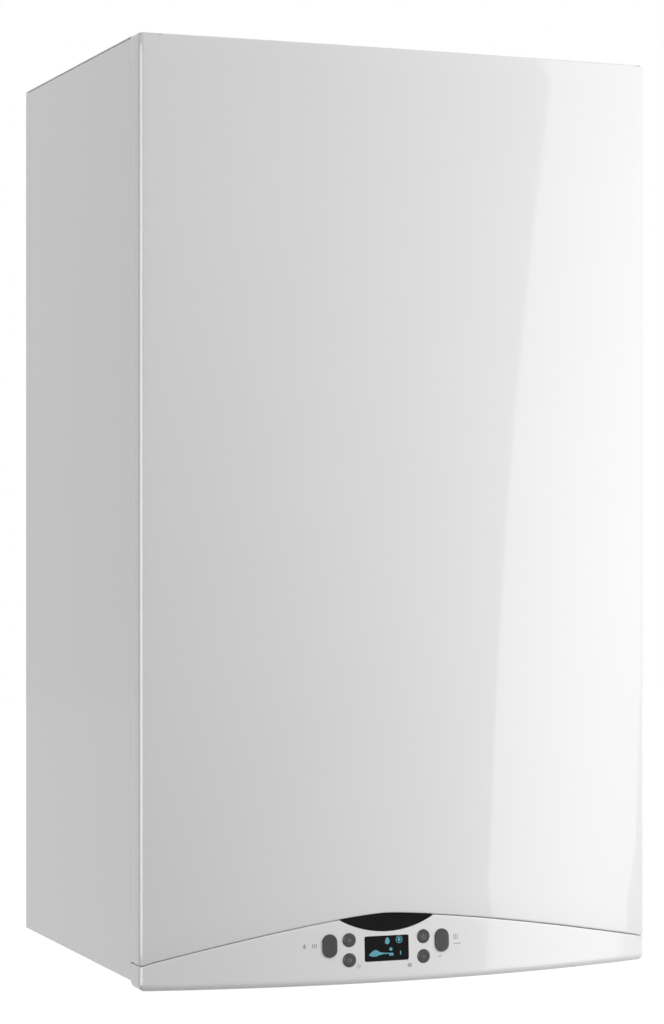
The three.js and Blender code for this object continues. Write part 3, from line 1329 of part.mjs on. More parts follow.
// The exchanger's shell: a ribbed drum, open to the front, with rails inside that carry the coil.
function exchangerShell() {
  const back = SHELL_BACK_Y;
  const front = SHELL_FRONT_Y;
  const inner = EXCHANGER_R - EXCHANGER_WALL;
  const ribPitch = (back - front) / 3;
  const ribs = [2, 1].flatMap((i) => {
    const y = front + ribPitch * i;
    return [
      [EXCHANGER_R, y + 3],
      [EXCHANGER_R + 3, y],
      [EXCHANGER_R, y - 3],
    ];
  });
  const profile = [
    [0, back],
    [EXCHANGER_R - 10, back],
    [EXCHANGER_R, back - 10],
    ...ribs,
    [EXCHANGER_R, front + 6],
    [EXCHANGER_R + EXCHANGER_RIM, front + 6],
    [EXCHANGER_R + EXCHANGER_RIM, front],
    [inner, front],
    [inner, back - EXCHANGER_WALL],
    [0, back - EXCHANGER_WALL],
  ];
  const drum = turnedY(profile, 0, EXCHANGER_Z, ROUND);
  const railDepth = inner - (COIL_R + COIL_TUBE_R) - FIT;
  const rails = [30, 150, 210, 330].map((degrees) =>
    box(inner - railDepth, inner + 1, front + 8, back - EXCHANGER_WALL + 1, -4, 4)
      .rotate([0, degrees, 0])
      .translate([0, 0, EXCHANGER_Z]),
  );
  const socket = cut(
    rodZ(FLUE_R + 5, EXCHANGER_Z + EXCHANGER_R - 12, FLUE_SEAT_Z + 12, 0, -FLUE_Y, ROUND),
    rodZ(FLUE_R + FIT, FLUE_SEAT_Z - FIT, FLUE_SEAT_Z + 13, 0, -FLUE_Y, ROUND),
  );
  const neck = (side, z) => {
    const [x0, x1] = side < 0 ? [-WATER_NECK_X, -EXCHANGER_R + 3] : [EXCHANGER_R - 3, WATER_NECK_X];
    return rodX(COPPER_R + 3, x0, x1, SHELL_MID_Y, z);
  };
  const chordZ = EXCHANGER_Z - Math.sqrt(EXCHANGER_R ** 2 - TRAP_X ** 2);
  const drain = rodZ(RISER_R + 3, SHELL_DRAIN_Z, chordZ + 5, TRAP_X, -TRAP_Y);
  const necks = [neck(-1, EXCHANGER_Z + WATER_NECK_DROP), neck(1, EXCHANGER_Z - WATER_NECK_DROP)];
  return join(drum, rails, socket, necks, drain);
}

// The helix that carries the water round the burner.
class CoilCurve extends THREE.Curve {
  getPoint(t, target = new THREE.Vector3()) {
    const angle = 2 * Math.PI * COIL_TURNS * t;
    const y = SHELL_MID_Y + COIL_PITCH * COIL_TURNS * (t - 0.5);
    return target.set(COIL_R * Math.cos(angle), y, EXCHANGER_Z + COIL_R * Math.sin(angle));
  }
}

function exchangerCoil() {
  const steps = COIL_TURNS * COIL_STEPS;
  const options = { steps, extrudePath: new CoilCurve(), curveSegments: 3, bevelEnabled: false };
  return solidOf(new THREE.ExtrudeGeometry(circle(0, 0, COIL_TUBE_R), options));
}

// The burner door: a studded disc with a dome and a duct down to the fan.
function burnerDoor() {
  const rim = EXCHANGER_R + EXCHANGER_RIM;
  const domeY = FAN_FRONT_Y + 4;
  const profile = [
    [0, DOOR_BACK_Y],
    [rim, DOOR_BACK_Y],
    [rim, DOOR_FRONT_Y + 2],
    [rim - 2, DOOR_FRONT_Y],
    [DOOR_DOME_R, DOOR_FRONT_Y],
    [DOOR_DOME_R - 3, domeY + 10],
    [DOOR_DOME_R - 12, domeY],
    [0, domeY],
  ];
  const disc = turnedY(profile, 0, EXCHANGER_Z, ROUND);
  const duct = prismZ(
    roundedRectangle(OUTLET_X, (FAN_FRONT_Y + FAN_BACK_Y) / 2, FAN_OUTLET_W, FAN_D, 6),
    OUTLET_TOP_Z + FIT,
    EXCHANGER_Z - DOOR_DOME_R / 2,
    3,
  );
  const webHalfW = FAN_OUTLET_W / 2 - 6;
  const web = box(
    OUTLET_X - webHalfW,
    OUTLET_X + webHalfW,
    FAN_BACK_Y - 4,
    DOOR_BACK_Y,
    OUTLET_TOP_Z + 8,
    EXCHANGER_Z,
  );
  const studs = count(DOOR_STUDS, (i) => {
    const angle = (2 * Math.PI * (i + 0.5)) / DOOR_STUDS;
    const x = (rim - 9) * Math.cos(angle);
    const z = EXCHANGER_Z + (rim - 9) * Math.sin(angle);
    return rodY(6, DOOR_FRONT_Y - 7, DOOR_BACK_Y - 1, x, z, 6);
  });
  const holeR = ELECTRODE_R + FIT;
  const electrodeHole = rodY(holeR, DOOR_FRONT_Y - 1, DOOR_BACK_Y + 1, ELECTRODE_X, ELECTRODE_Z, 12);
  return cut(join(disc, duct, web, studs), electrodeHole);
}

const ELECTRODE_Z = EXCHANGER_Z - ELECTRODE_DROP;

function burnerTube() {
  const y0 = DOOR_BACK_Y + FIT;
  const y1 = Math.min(y0 + BURNER_L, SHELL_BACK_Y - EXCHANGER_WALL - 20);
  const profile = [
    [0, y0],
    [BURNER_R + 8, y0],
    [BURNER_R + 8, y0 + 3],
    [BURNER_R, y0 + 3],
    [BURNER_R, y1 - 4],
    [BURNER_R - 4, y1],
    [0, y1],
  ];
  return turnedY(profile, 0, EXCHANGER_Z, 16);
}

function ignitionElectrode() {
  const profile = [
    [0, DOOR_FRONT_Y - 22],
    [3, DOOR_FRONT_Y - 22],
    [3, DOOR_FRONT_Y - 12],
    [ELECTRODE_R + 3, DOOR_FRONT_Y - 12],
    [ELECTRODE_R + 3, DOOR_FRONT_Y - FIT],
    [ELECTRODE_R, DOOR_FRONT_Y - FIT],
    [ELECTRODE_R, DOOR_BACK_Y + 14],
    [1.5, DOOR_BACK_Y + 16],
    [1.5, DOOR_BACK_Y + 46],
    [0, DOOR_BACK_Y + 46],
  ];
  return turnedY(profile, ELECTRODE_X, ELECTRODE_Z, 12);
}

// The spiral outline of the fan housing, drawn in by an inset, with its outlet duct at the left.
function volute(inset) {
  const steps = 20;
  const sweep = 1.75 * Math.PI;
  return count(steps + 1, (i) => {
    const share = i / steps;
    const radius = FAN_R + FAN_GROWTH * share - inset;
    const angle = Math.PI / 2 - share * sweep;
    return [radius * Math.cos(angle), FAN_Z + radius * Math.sin(angle)];
  });
}

function fanOutline(inset) {
  const spiral = volute(inset).filter(([x, z]) => !(x < OUTLET_X + FAN_OUTLET_W / 2 && z > FAN_Z));
  const top = OUTLET_TOP_Z + (inset ? 1 : 0);
  const left = OUTLET_X - FAN_OUTLET_W / 2 + inset;
  const right = OUTLET_X + FAN_OUTLET_W / 2 - inset;
  return outline([...spiral, [left, FAN_Z], [left, top], [right, top]]);
}

function fanHousing() {
  const body = prismY(fanOutline(0), FAN_FRONT_Y, FAN_BACK_Y);
  const hollow = prismY(fanOutline(FAN_WALL), FAN_FRONT_Y + FAN_WALL, FAN_BACK_Y - FAN_WALL);
  const inlet = rodY(FAN_INLET_R, FAN_FRONT_Y - 1, FAN_FRONT_Y + FAN_WALL + 1, 0, FAN_Z, 24);
  const motorHole = rodY(IMPELLER_R + 2, FAN_BACK_Y - FAN_WALL - 1, FAN_BACK_Y + 1, 0, FAN_Z, ROUND);
  return cut(body, hollow, inlet, motorHole);
}

// The impeller turns about its own Z axis: back plate, curved blades, front ring, and shaft.
function fanImpeller() {
  const plate = rodZ(IMPELLER_R, 0, 2, 0, 0, ROUND);
  const ring = cut(
    rodZ(IMPELLER_R, IMPELLER_D - 2, IMPELLER_D, 0, 0, ROUND),
    rodZ(FAN_INLET_R - 1, IMPELLER_D - 3, IMPELLER_D + 1, 0, 0, ROUND),
  );
  const inner = FAN_INLET_R - 4;
  const blade = count(4, (i) => {
    const radius = inner + (IMPELLER_R - 1 - inner) * (i / 3);
    const angle = -0.55 * (i / 3) ** 1.2;
    return [radius * Math.cos(angle), radius * Math.sin(angle)];
  });
  const back = blade.map(([x, y]) => [x + 0.4, y + 1.5]).reverse();
  const bladeSolid = prismZ(outline([...blade, ...back]), 1, IMPELLER_D - 1);
  const blades = count(BLADE_COUNT, (i) => bladeSolid.rotate([0, 0, (360 * i) / BLADE_COUNT]));
  const hub = turnedZ(
    [
      [0, 0],
      [12, 0],
      [12, 6],
      [5, 16],
      [0, 16],
    ],
    0,
    0,
    14,
  );
  const shaft = rodZ(SHAFT_R, -SHAFT_L, 2, 0, 0, 12);
  return join(plate, ring, blades, hub, shaft);
}

const IMPELLER_BACK_Y = FAN_BACK_Y - FAN_WALL - 6;
const SHAFT_L = 30;

function fanMotor() {
  const y0 = FAN_BACK_Y + FIT;
  const y1 = y0 + MOTOR_FLANGE_T;
  const y2 = y1 + MOTOR_D;
  const profile = [
    [0, y0],
    [MOTOR_FLANGE_R, y0],
    [MOTOR_FLANGE_R, y1],
    [MOTOR_R, y1],
    [MOTOR_R, y2 - 8],
    [MOTOR_R - 8, y2],
    [0, y2],
  ];
  const body = turnedY(profile, 0, FAN_Z, 20);
  const bore = rodY(SHAFT_R + FIT, y0 - 1, IMPELLER_BACK_Y + SHAFT_L + FIT, 0, FAN_Z, 12);
  return cut(body, bore);
}

// The mixer: a round chamber on the fan's inlet with an air neck to the left and a gas stub to the right.
function gasMixer() {
  const y0 = BURNER_FRONT_Y;
  const y1 = y0 + MIXER_D;
  const midY = (y0 + y1) / 2;
  const chamber = turnedY(
    [
      [0, y0],
      [MIXER_R - 5, y0],
      [MIXER_R, y0 + 5],
      [MIXER_R, y1],
      [FAN_INLET_R - 3, y1],
      [FAN_INLET_R - 8, midY],
      [FAN_INLET_R - 5, y0 + 3],
      [0, y0 + 3],
    ],
    0,
    FAN_Z,
    ROUND,
  );
  const half = MIXER_NECK_H / 2;
  const neckEnd = -(MIXER_R + MIXER_NECK_L);
  const neck = box(neckEnd, -FAN_INLET_R, y0 + 2, y1 - 2, FAN_Z - half, FAN_Z + half);
  const neckBore = box(neckEnd - 1, -FAN_INLET_R + 8, y0 + 4, y1 - 4, FAN_Z - half + 2, FAN_Z + half - 2);
  const gasStub = rodX(GAS_R + 2, MIXER_R - 4, MIXER_R + 10, midY, FAN_Z);
  return cut(join(chamber, neck, gasStub), neckBore);
}

const MIXER_MID_Y = BURNER_FRONT_Y + MIXER_D / 2;

// The air silencer: an L-shaped moulded duct with its intake open at the top.
function airSilencer() {
  const left = -(HALF_W - SILENCER_SIDE_GAP);
  const right = -(MIXER_R + MIXER_NECK_L) - FIT;
  const half = MIXER_NECK_H / 2;
  const duct = (inset, open) => {
    const elbow = new THREE.Shape();
    const x0 = left + inset;
    const x1 = left + SILENCER_W - inset;
    const z0 = FAN_Z - half + inset;
    const z1 = FAN_Z + half - inset;
    const curve = 18 - inset;
    elbow.moveTo(right + open, z0);
    elbow.lineTo(right + open, z1);
    elbow.lineTo(x1 + 10, z1);
    elbow.quadraticCurveTo(x1, z1, x1, z1 + 10);
    elbow.lineTo(x1, SILENCER_TOP_Z + open);
    elbow.lineTo(x0, SILENCER_TOP_Z + open);
    elbow.lineTo(x0, z0 + curve);
    elbow.quadraticCurveTo(x0, z0, x0 + curve, z0);
    return elbow;
  };
  const y0 = BURNER_FRONT_Y + 2;
  const y1 = y0 + MIXER_D - 4;
  const body = prismY(duct(0, 0), y0, y1, 5);
  const ribs = count(4, (i) => {
    const z = FAN_Z + 60 + 22 * i;
    return box(left - 1.5, left + SILENCER_W + 1.5, y0 + 3, y1 - 3, z, z + 4);
  });
  const hollow = prismY(duct(SILENCER_WALL, 1), y0 + SILENCER_WALL, y1 - SILENCER_WALL, 5);
  return cut(join(body, ribs), hollow);
}

// The gas valve: a cast body with a governor cap, two coils and threaded ports.
function gasValve() {
  const z0 = FAN_Z - VALVE_H / 2;
  const z1 = FAN_Z + VALVE_H / 2;
  const y0 = BURNER_FRONT_Y;
  const y1 = y0 + VALVE_D;
  const x0 = VALVE_X - VALVE_W / 2;
  const x1 = VALVE_X + VALVE_W / 2;
  const midY = (y0 + y1) / 2;
  const body = prismY(roundedRectangle(VALVE_X, FAN_Z, VALVE_W, VALVE_H, 7), y0 + 8, y1, 3);
  const governor = rodY(17, y0, y0 + 10, VALVE_X + 6, FAN_Z - 14, 20);
  const coils = [-1, 1].map((side) => {
    const x = VALVE_X + side * 13;
    return box(x - 11, x + 11, midY - 16, midY + 16, z1 - 4, z1 + 22);
  });
  const inlet = rodZ(GAS_R + 6, z0 - 8, z0 + 4, VALVE_X, midY, 6);
  const outlet = rodX(GAS_R + 3, x0 - 6, x0 + 4, MIXER_MID_Y, FAN_Z, 6);
  const lug = box(x1 - 4, x1 + 9, midY - 3, midY + 3, FAN_Z - 12, FAN_Z + 12);
  return join(body, governor, coils, inlet, outlet, lug);
}

function gasFeedPipe() {
  const start = MIXER_R + 10 + FIT;
  const end = VALVE_X - VALVE_W / 2 - 6 - FIT;
  return rodX(GAS_R, start, end, MIXER_MID_Y, FAN_Z, PIPE_SIDES * 2);
}

// The gas pipe: threaded stub under the rail, collar on top of it, and copper up to the valve.
function gasPipe() {
  const midY = BURNER_FRONT_Y + VALVE_D / 2;
  const run = pipe(
    [
      [0, -PIPE_Y, BARREL_Z],
      [0, -PIPE_Y, GAS_RUN_Z],
      [0, midY, GAS_RUN_Z],
      [VALVE_X, midY, GAS_RUN_Z],
      [VALVE_X, midY, FAN_Z - VALVE_H / 2 - 8 - FIT],
    ],
    GAS_R,
    COPPER_BEND,
  );
  const collar = rodZ(STUB_R_LARGE + 4, BARREL_Z, BARREL_Z + 14, 0, -PIPE_Y, 6);
  return cut(join(run, collar, stub(0, STUB_R_LARGE, BARREL_Z + 2)), stubBore(0));
}

// ---------------------------------------------------------------------------------------------------------------
// Flue and condensate
// ---------------------------------------------------------------------------------------------------------------

function fluePipe() {
  const top = COLLAR_TOP_Z - 2;
  return cut(
    rodZ(FLUE_R, FLUE_SEAT_Z, top, 0, -FLUE_Y, ROUND),
    rodZ(FLUE_R - FLUE_WALL, FLUE_SEAT_Z - 1, top + 1, 0, -FLUE_Y, ROUND),
  );
}

// The collar on top: a base plate, an outer ring for the air, webs that hold the flue pipe, and two test bosses.
function flueCollar() {
  const z0 = COLLAR_Z;
  const z1 = z0 + COLLAR_PLATE_T;
  const inner = COLLAR_R - COLLAR_WALL;
  const plate = prismZ(roundedRectangle(0, -FLUE_Y, COLLAR_PLATE_W, COLLAR_PLATE_D, 14), z0, z1);
  const ring = rodZ(COLLAR_R, z0, COLLAR_TOP_Z, 0, -FLUE_Y, ROUND);
  const spigot = rodZ(inner, CASE_H - COLLAR_SPIGOT_H, z0 + 1, 0, -FLUE_Y, ROUND);
  const bosses = [-TEST_X, TEST_X].map((x) => rodZ(TEST_R + 3, z0, z1 + TEST_BOSS_H, x, -FLUE_Y));
  const bore = rodZ(inner - COLLAR_WALL, CASE_H - COLLAR_SPIGOT_H - 1, COLLAR_TOP_Z + 1, 0, -FLUE_Y, ROUND);
  const testBore = (x) => rodZ(TEST_R + FIT, z0 - 1, z1 + TEST_BOSS_H + 1, x, -FLUE_Y);
  const testBores = [testBore(-TEST_X), testBore(TEST_X)];
  const shell = cut(join(plate, ring, spigot, bosses), bore, testBores);
  const grip = cut(
    rodZ(FLUE_R + FIT + COLLAR_WALL, z0, z0 + 10, 0, -FLUE_Y, ROUND),
    rodZ(FLUE_R + FIT, z0 - 1, z0 + 11, 0, -FLUE_Y, ROUND),
  );
  const webs = count(COLLAR_WEBS, (i) =>
    box(FLUE_R + COLLAR_WALL - 0.5, inner - COLLAR_WALL + 0.5, -1, 1, z0, z0 + 10)
      .rotate([0, 0, (360 * i) / COLLAR_WEBS + 90])
      .translate([0, -FLUE_Y, 0]),
  );
  return join(shell, grip, webs);
}

// A plug cap for a test point, turned about its own Z axis, with its head resting at z = 0.
function testCap() {
  return turnedZ(
    [
      [0, -TEST_BOSS_H - COLLAR_PLATE_T],
      [TEST_R - 1, -TEST_BOSS_H - COLLAR_PLATE_T],
      [TEST_R, -TEST_BOSS_H],
      [TEST_R, 0],
      [TEST_HEAD_R, 0],
      [TEST_HEAD_R, TEST_HEAD_H - 1.5],
      [TEST_HEAD_R - 1.5, TEST_HEAD_H],
      [0, TEST_HEAD_H],
    ],
    0,
    0,
    14,
  );
}

// The trap: a turned body with its inlet riser from the exchanger, a drain spout, and a skirt inside the cup.
function condensateTrap() {
  const z = TRAP_Z;
  const flatsR = (TRAP_R - TRAP_RIM) * Math.cos(Math.PI / TRAP_SIDES); // the cup's bore across its facets
  const skirtR = flatsR - FIT;
  const body = turnedZ(
    [
      [0, z - TRAP_SKIRT_H],
      [skirtR, z - TRAP_SKIRT_H],
      [skirtR, z],
      [TRAP_R, z + FIT],
      [TRAP_R, TRAP_TOP_Z - 10],
      [TRAP_R - 6, TRAP_TOP_Z],
      [0, TRAP_TOP_Z],
    ],
    TRAP_X,
    -TRAP_Y,
    TRAP_SIDES,
  );
  const riser = rodZ(RISER_R, TRAP_TOP_Z - 2, SHELL_DRAIN_Z - FIT, TRAP_X, -TRAP_Y);
  const cuff = (z0) => rodZ(RISER_R + 2.5, z0, z0 + CUFF_H, TRAP_X, -TRAP_Y);
  const cuffs = [cuff(TRAP_TOP_Z - 1), cuff(SHELL_DRAIN_Z - FIT - CUFF_H)];
  const spout = rodX(6, TRAP_X - TRAP_R - 16, TRAP_X, -TRAP_Y, TRAP_Z + TRAP_H / 2, 12);
  return join(body, riser, cuffs, spout);
}

// The trap's cup, turned about its own Z axis, with its rim at z = 0 and grip ribs outside.
function siphonCup() {
  const bore = TRAP_R - TRAP_RIM;
  const outer = bore + CUP_WALL;
  const cup = turnedZ(
    [
      [0, -CUP_H],
      [outer - 4, -CUP_H],
      [outer, -CUP_H + 4],
      [outer, -FIT],
      [bore, -FIT],
      [bore, -CUP_H + 4],
      [0, -CUP_H + 4],
    ],
    0,
    0,
    TRAP_SIDES,
  );
  const ribs = count(6, (i) => box(outer - 1, outer + 1.5, -1.5, 1.5, -CUP_H + 4, -3).rotate([0, 0, 60 * i]));
  return join(cup, ribs);
}

// ---------------------------------------------------------------------------------------------------------------
// Assembly
// ---------------------------------------------------------------------------------------------------------------

function piece(name, solid, look, place = [0, 0, 0], rotation = [0, 0, 0]) {
  const mesh = new THREE.Mesh(geometryOf(solid), look);
  mesh.name = name;
  mesh.position.set(...place);
  mesh.rotation.set(...rotation);
  return mesh;
}

function groupOf(...meshes) {
  const group = new THREE.Group();
  group.add(...meshes);
  return group;
}

const QUARTER = Math.PI / 2;

const casing = groupOf(
  piece("wall_bracket", wallBracket(), GALVANISED),
  piece("back_frame", backFrame(), GALVANISED),
  piece("side_panel_left", sidePanel(-1), WHITE_PAINT),
  piece("side_panel_right", sidePanel(1), WHITE_PAINT),
  piece("top_panel", topPanel(), WHITE_PAINT),
  piece("front_cover", frontCover(), WHITE_PAINT),
  piece("cover_seal", coverSeal(), RUBBER),
  piece("mid_frame", midFrame(), GALVANISED),
  piece("connection_rail", connectionRail(), GALVANISED),
);

const BUTTON_NAMES = ["button_lower_left", "button_upper_left", "button_lower_right", "button_upper_right"];
const buttons = BUTTON_PLACES.map(({ x, z }, i) => {
  const { solid, place } = roundButton(x, z);
  return piece(BUTTON_NAMES[i], solid, KEY_GREY, place);
});

const PIN_X = BOX_HALF_W - EAR_T;
const controlUnit = groupOf(
  piece("control_fascia", controlFascia(), WHITE_PLASTIC),
  piece("badge_insert", badgeInsert(), BLACK_GLOSS),
  piece("display_window", displayWindow(), BLACK_GLOSS),
  piece("display_board", displayBoard(), BOARD_GREEN),
  piece("keypad", keypad(), RUBBER),
  ...buttons,
  piece("rocker_left", rockerButton(-1), KEY_GREY),
  piece("rocker_right", rockerButton(1), KEY_GREY),
  piece("control_box", controlBox(), DARK_PLASTIC),
  piece("control_box_lid", controlBoxLid(), DARK_PLASTIC),
  piece("main_circuit_board", mainCircuitBoard(), BOARD_GREEN),
  piece("cable_grommet", cableGrommet(), RUBBER),
  piece("hinge_bracket_left", hingeBracket(-1), GALVANISED),
  piece("hinge_bracket_right", hingeBracket(1), GALVANISED),
  piece("hinge_pin_left", hingePin(), STEEL, [-PIN_X, HINGE_Y, HINGE_Z], [0, -QUARTER, 0]),
  piece("hinge_pin_right", hingePin(), STEEL, [PIN_X, HINGE_Y, HINGE_Z], [0, QUARTER, 0]),
);

const burnerGroup = groupOf(
  piece("exchanger_shell", exchangerShell(), STEEL),
  piece("exchanger_coil", exchangerCoil(), STEEL),
  piece("burner_door", burnerDoor(), CAST_ALUMINIUM),
  piece("burner_tube", burnerTube(), STEEL),
  piece("ignition_electrode", ignitionElectrode(), CERAMIC),
  piece("fan_housing", fanHousing(), CAST_ALUMINIUM),
  piece("fan_impeller", fanImpeller(), DARK_PLASTIC, [0, IMPELLER_BACK_Y, FAN_Z], [QUARTER, 0, 0]),
  piece("fan_motor", fanMotor(), DARK_PLASTIC),
  piece("gas_mixer", gasMixer(), DARK_PLASTIC),
  piece("air_silencer", airSilencer(), DARK_PLASTIC),
  piece("gas_valve", gasValve(), CAST_ALUMINIUM),
  piece("gas_pipe", gasPipe(), COPPER),
  piece("gas_feed_pipe", gasFeedPipe(), COPPER),
  piece("flue_pipe", fluePipe(), STEEL),
  piece("flue_collar", flueCollar(), GREY_PLASTIC),
);

const CAP_Z = COLLAR_Z + COLLAR_PLATE_T + TEST_BOSS_H + FIT;
const caps = groupOf(
  piece("flue_test_cap", testCap(), RUBBER, [-TEST_X, -FLUE_Y, CAP_Z]),
  piece("air_test_cap", testCap(), RUBBER, [TEST_X, -FLUE_Y, CAP_Z]),
);

const TAP_PLACE = [TAP_X, -PIPE_Y, RAIL_Z - FIT - 3];
const SAFETY_PLACE = [OUTER_X + SAFETY_REACH + FIT, -PIPE_Y, SAFETY_Z];
const hydraulics = groupOf(
  piece("expansion_vessel", expansionVessel(), RED_PAINT),
  piece("vessel_pipe", vesselPipe(), COPPER),
  piece("flow_block", flowBlock(), BRASS),
  piece("return_block", returnBlock(), BRASS),
  piece("plate_heat_exchanger", plateExchanger(), STEEL),
  piece("circulation_pump", circulationPump(), DARK_PLASTIC),
  piece("automatic_air_vent", airVent(), BRASS),
  piece("diverter_motor", diverterMotor(), GREY_PLASTIC),
  piece("safety_valve_knob", notchedKnob(KNOB_R, KNOB_L, 0, 0), RED_PLASTIC, SAFETY_PLACE, [0, QUARTER, 0]),
  piece(
    "filling_tap_knob",
    notchedKnob(TAP_KNOB_R, TAP_KNOB_L, TAP_STEM_R, TAP_TOP_Z - FIT - TAP_PLACE[2]),
    BLUE_PLASTIC,
    TAP_PLACE,
    [Math.PI, 0, 0],
  ),
  piece("flow_pipe", flowPipe(), COPPER),
  piece("return_pipe", returnPipe(), COPPER),
  piece("condensate_trap", condensateTrap(), GREY_PLASTIC),
  piece("siphon_cup", siphonCup(), DARK_PLASTIC, [TRAP_X, -TRAP_Y, TRAP_Z]),
);

const boiler = groupOf(casing, controlUnit, burnerGroup, caps, hydraulics);
boiler.position.z = -HANG_Z;
const part = new THREE.Group();
part.add(boiler);

export default part;
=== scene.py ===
import json
import math
from math import cos, pi, radians, sin

import bmesh
import bpy
import numpy as np
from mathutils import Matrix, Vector


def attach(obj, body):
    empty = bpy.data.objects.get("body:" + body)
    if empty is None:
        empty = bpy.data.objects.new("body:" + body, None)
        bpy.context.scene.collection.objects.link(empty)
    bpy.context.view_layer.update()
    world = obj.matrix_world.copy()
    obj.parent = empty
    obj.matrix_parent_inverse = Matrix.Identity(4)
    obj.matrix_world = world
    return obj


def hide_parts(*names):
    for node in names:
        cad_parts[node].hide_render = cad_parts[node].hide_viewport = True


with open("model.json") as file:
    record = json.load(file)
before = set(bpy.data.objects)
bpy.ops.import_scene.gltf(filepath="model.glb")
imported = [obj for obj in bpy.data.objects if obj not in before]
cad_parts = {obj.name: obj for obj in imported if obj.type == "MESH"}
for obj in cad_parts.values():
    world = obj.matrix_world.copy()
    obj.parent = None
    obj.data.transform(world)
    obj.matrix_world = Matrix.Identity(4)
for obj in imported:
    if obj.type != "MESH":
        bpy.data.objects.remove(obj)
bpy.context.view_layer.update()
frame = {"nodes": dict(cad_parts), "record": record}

# ---- Dimensions in millimetres, as in the solids. Heights are above the lower edge of the case. ----

CASE_W, CASE_H, CASE_D = 440.0, 745.0, 330.0
HANG_Z = 690.0
HALF_W = CASE_W / 2
BOW_TOP, BOW_BOTTOM, BOW_POWER = 3.0, 30.0, 1.3
SHEET = 1.0
CORNER_R = 4.0
RETURN_D = 22.0
COVER_BACK_Y = -(CASE_D - RETURN_D)
PANEL_FRONT_Y = COVER_BACK_Y + 0.5
LIP_Y = PANEL_FRONT_Y + 3.0
FASCIA_BACK_Y = PANEL_FRONT_Y - 1.0
CONTROLS_X = -24.0
SEAM_END_H, SEAM_RISE, SEAM_POWER, SEAM_GAP = 20.0, 35.0, 1.4, 0.5
FASCIA_T, FASCIA_EDGE_R = 2.5, 6.0
BUTTON_R = 5.35
BUTTON_ZS = (19.7, 35.4)
BUTTON_X = 31.4
ROCKER_W, ROCKER_H, ROCKER_X, ROCKER_Z = 11.7, 18.0, 47.5, 31.5
DISPLAY_W, DISPLAY_H, DISPLAY_Z = 37.5, 20.0, 27.6
BADGE_W, BADGE_DROP = 81.0, 11.0
MARK_T = 0.05
LIP_W = 12.0


def bow_at(z):
    return BOW_TOP + (BOW_BOTTOM - BOW_TOP) * max(0.0, 1 - z / CASE_H) ** BOW_POWER


def front_y(x, z):
    return -(CASE_D + bow_at(z) * (1 - (x / HALF_W) ** 2))


def seam_z(x):
    reach = CONTROLS_X + HALF_W if x < CONTROLS_X else HALF_W - CONTROLS_X
    t = min(1.0, abs(x - CONTROLS_X) / reach)
    return SEAM_END_H + SEAM_RISE * (1 - t**SEAM_POWER)


# ---- Meshes ----


def row(points):
    """Millimetres above the case's lower edge to metres in the row frame."""
    a = np.array(points, float).reshape(-1, 3) / 1000
    a[:, 2] -= HANG_Z / 1000
    return a


def add_object(name, data):
    obj = bpy.data.objects.new(name, data)
    bpy.context.scene.collection.objects.link(obj)
    return obj


def new_object(name, points, faces):
    mesh = bpy.data.meshes.new(name)
    mesh.from_pydata([tuple(p) for p in row(points)], [], faces)
    mesh.update()
    return add_object(name, mesh)


def from_bmesh(name, bm):
    mesh = bpy.data.meshes.new(name)
    bm.to_mesh(mesh)
    bm.free()
    return add_object(name, mesh)


def apply_modifiers(obj):
    """Makes the form that an object's modifiers give it the object's own mesh."""
    shown = obj.evaluated_get(bpy.context.evaluated_depsgraph_get())
    mesh = bpy.data.meshes.new_from_object(shown)
    obj.modifiers.clear()
    obj.data = mesh
    return obj


def clean(obj):
    bm = bmesh.new()
    bm.from_mesh(obj.data)
    bmesh.ops.remove_doubles(bm, verts=bm.verts, dist=2e-6)
    bmesh.ops.recalc_face_normals(bm, faces=bm.faces)
    bm.to_mesh(obj.data)
    bm.free()
    obj.data.update()
    return obj


def join(name, objects):
    """Several objects as one mesh."""
    bm = bmesh.new()
    for obj in objects:
        bm.from_mesh(obj.data)
        bpy.data.objects.remove(obj)
    return from_bmesh(name, bm)


def carve(obj, cutters, operation="DIFFERENCE"):
    """Cuts objects out of another, and drops them."""
    for cutter in cutters:
        modifier = obj.modifiers.new("cut", "BOOLEAN")
        modifier.operation = operation
        modifier.solver = "EXACT"
        modifier.object = cutter
    apply_modifiers(obj)
    for cutter in cutters:
        bpy.data.objects.remove(cutter)
    return obj


def finish_piece(obj, body, material, replaces=(), angle=32):
    mesh = obj.data
    mesh.shade_smooth()
    mesh.set_sharp_from_angle(angle=radians(angle))
    mesh.materials.clear()
    mesh.materials.append(material)
    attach(obj, body)
    if replaces:
        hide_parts(*replaces)
    return obj


def add_bevel(obj, width, segments=2, angle=40):
    modifier = obj.modifiers.new("bevel", "BEVEL")
    modifier.width = width / 1000
    modifier.segments = segments
    modifier.limit_method = "ANGLE"
    modifier.angle_limit = radians(angle)
    return apply_modifiers(obj)


def skin_faces(rows, columns, offset, flip, wrap=False):
    faces = []
    last = columns if wrap else columns - 1
    for r in range(rows - 1):
        for c in range(last):
            a = offset + r * columns + c
            b = offset + r * columns + (c + 1) % columns
            quad = (a, b, b + columns, a + columns)
            faces.append(quad[::-1] if flip else quad)
    return faces


def shell(name, outer, inner):
    """A closed skin between an outer and an inner grid of points, rows from the bottom up."""
    rows, columns = len(outer), len(outer[0])
    half = rows * columns
    faces = skin_faces(rows, columns, 0, False) + skin_faces(rows, columns, half, True)
    top = (rows - 1) * columns
    for c in range(columns - 1):
        faces.append((c + 1, c, half + c, half + c + 1))
        faces.append((top + c, top + c + 1, half + top + c + 1, half + top + c))
    for r in range(rows - 1):
        a, b = r * columns, (r + 1) * columns
        faces.append((a, b, half + b, half + a))
        a, b = a + columns - 1, b + columns - 1
        faces.append((b, a, half + a, half + b))
    points = [p for line in outer for p in line] + [p for line in inner for p in line]
    return clean(new_object(name, points, faces))


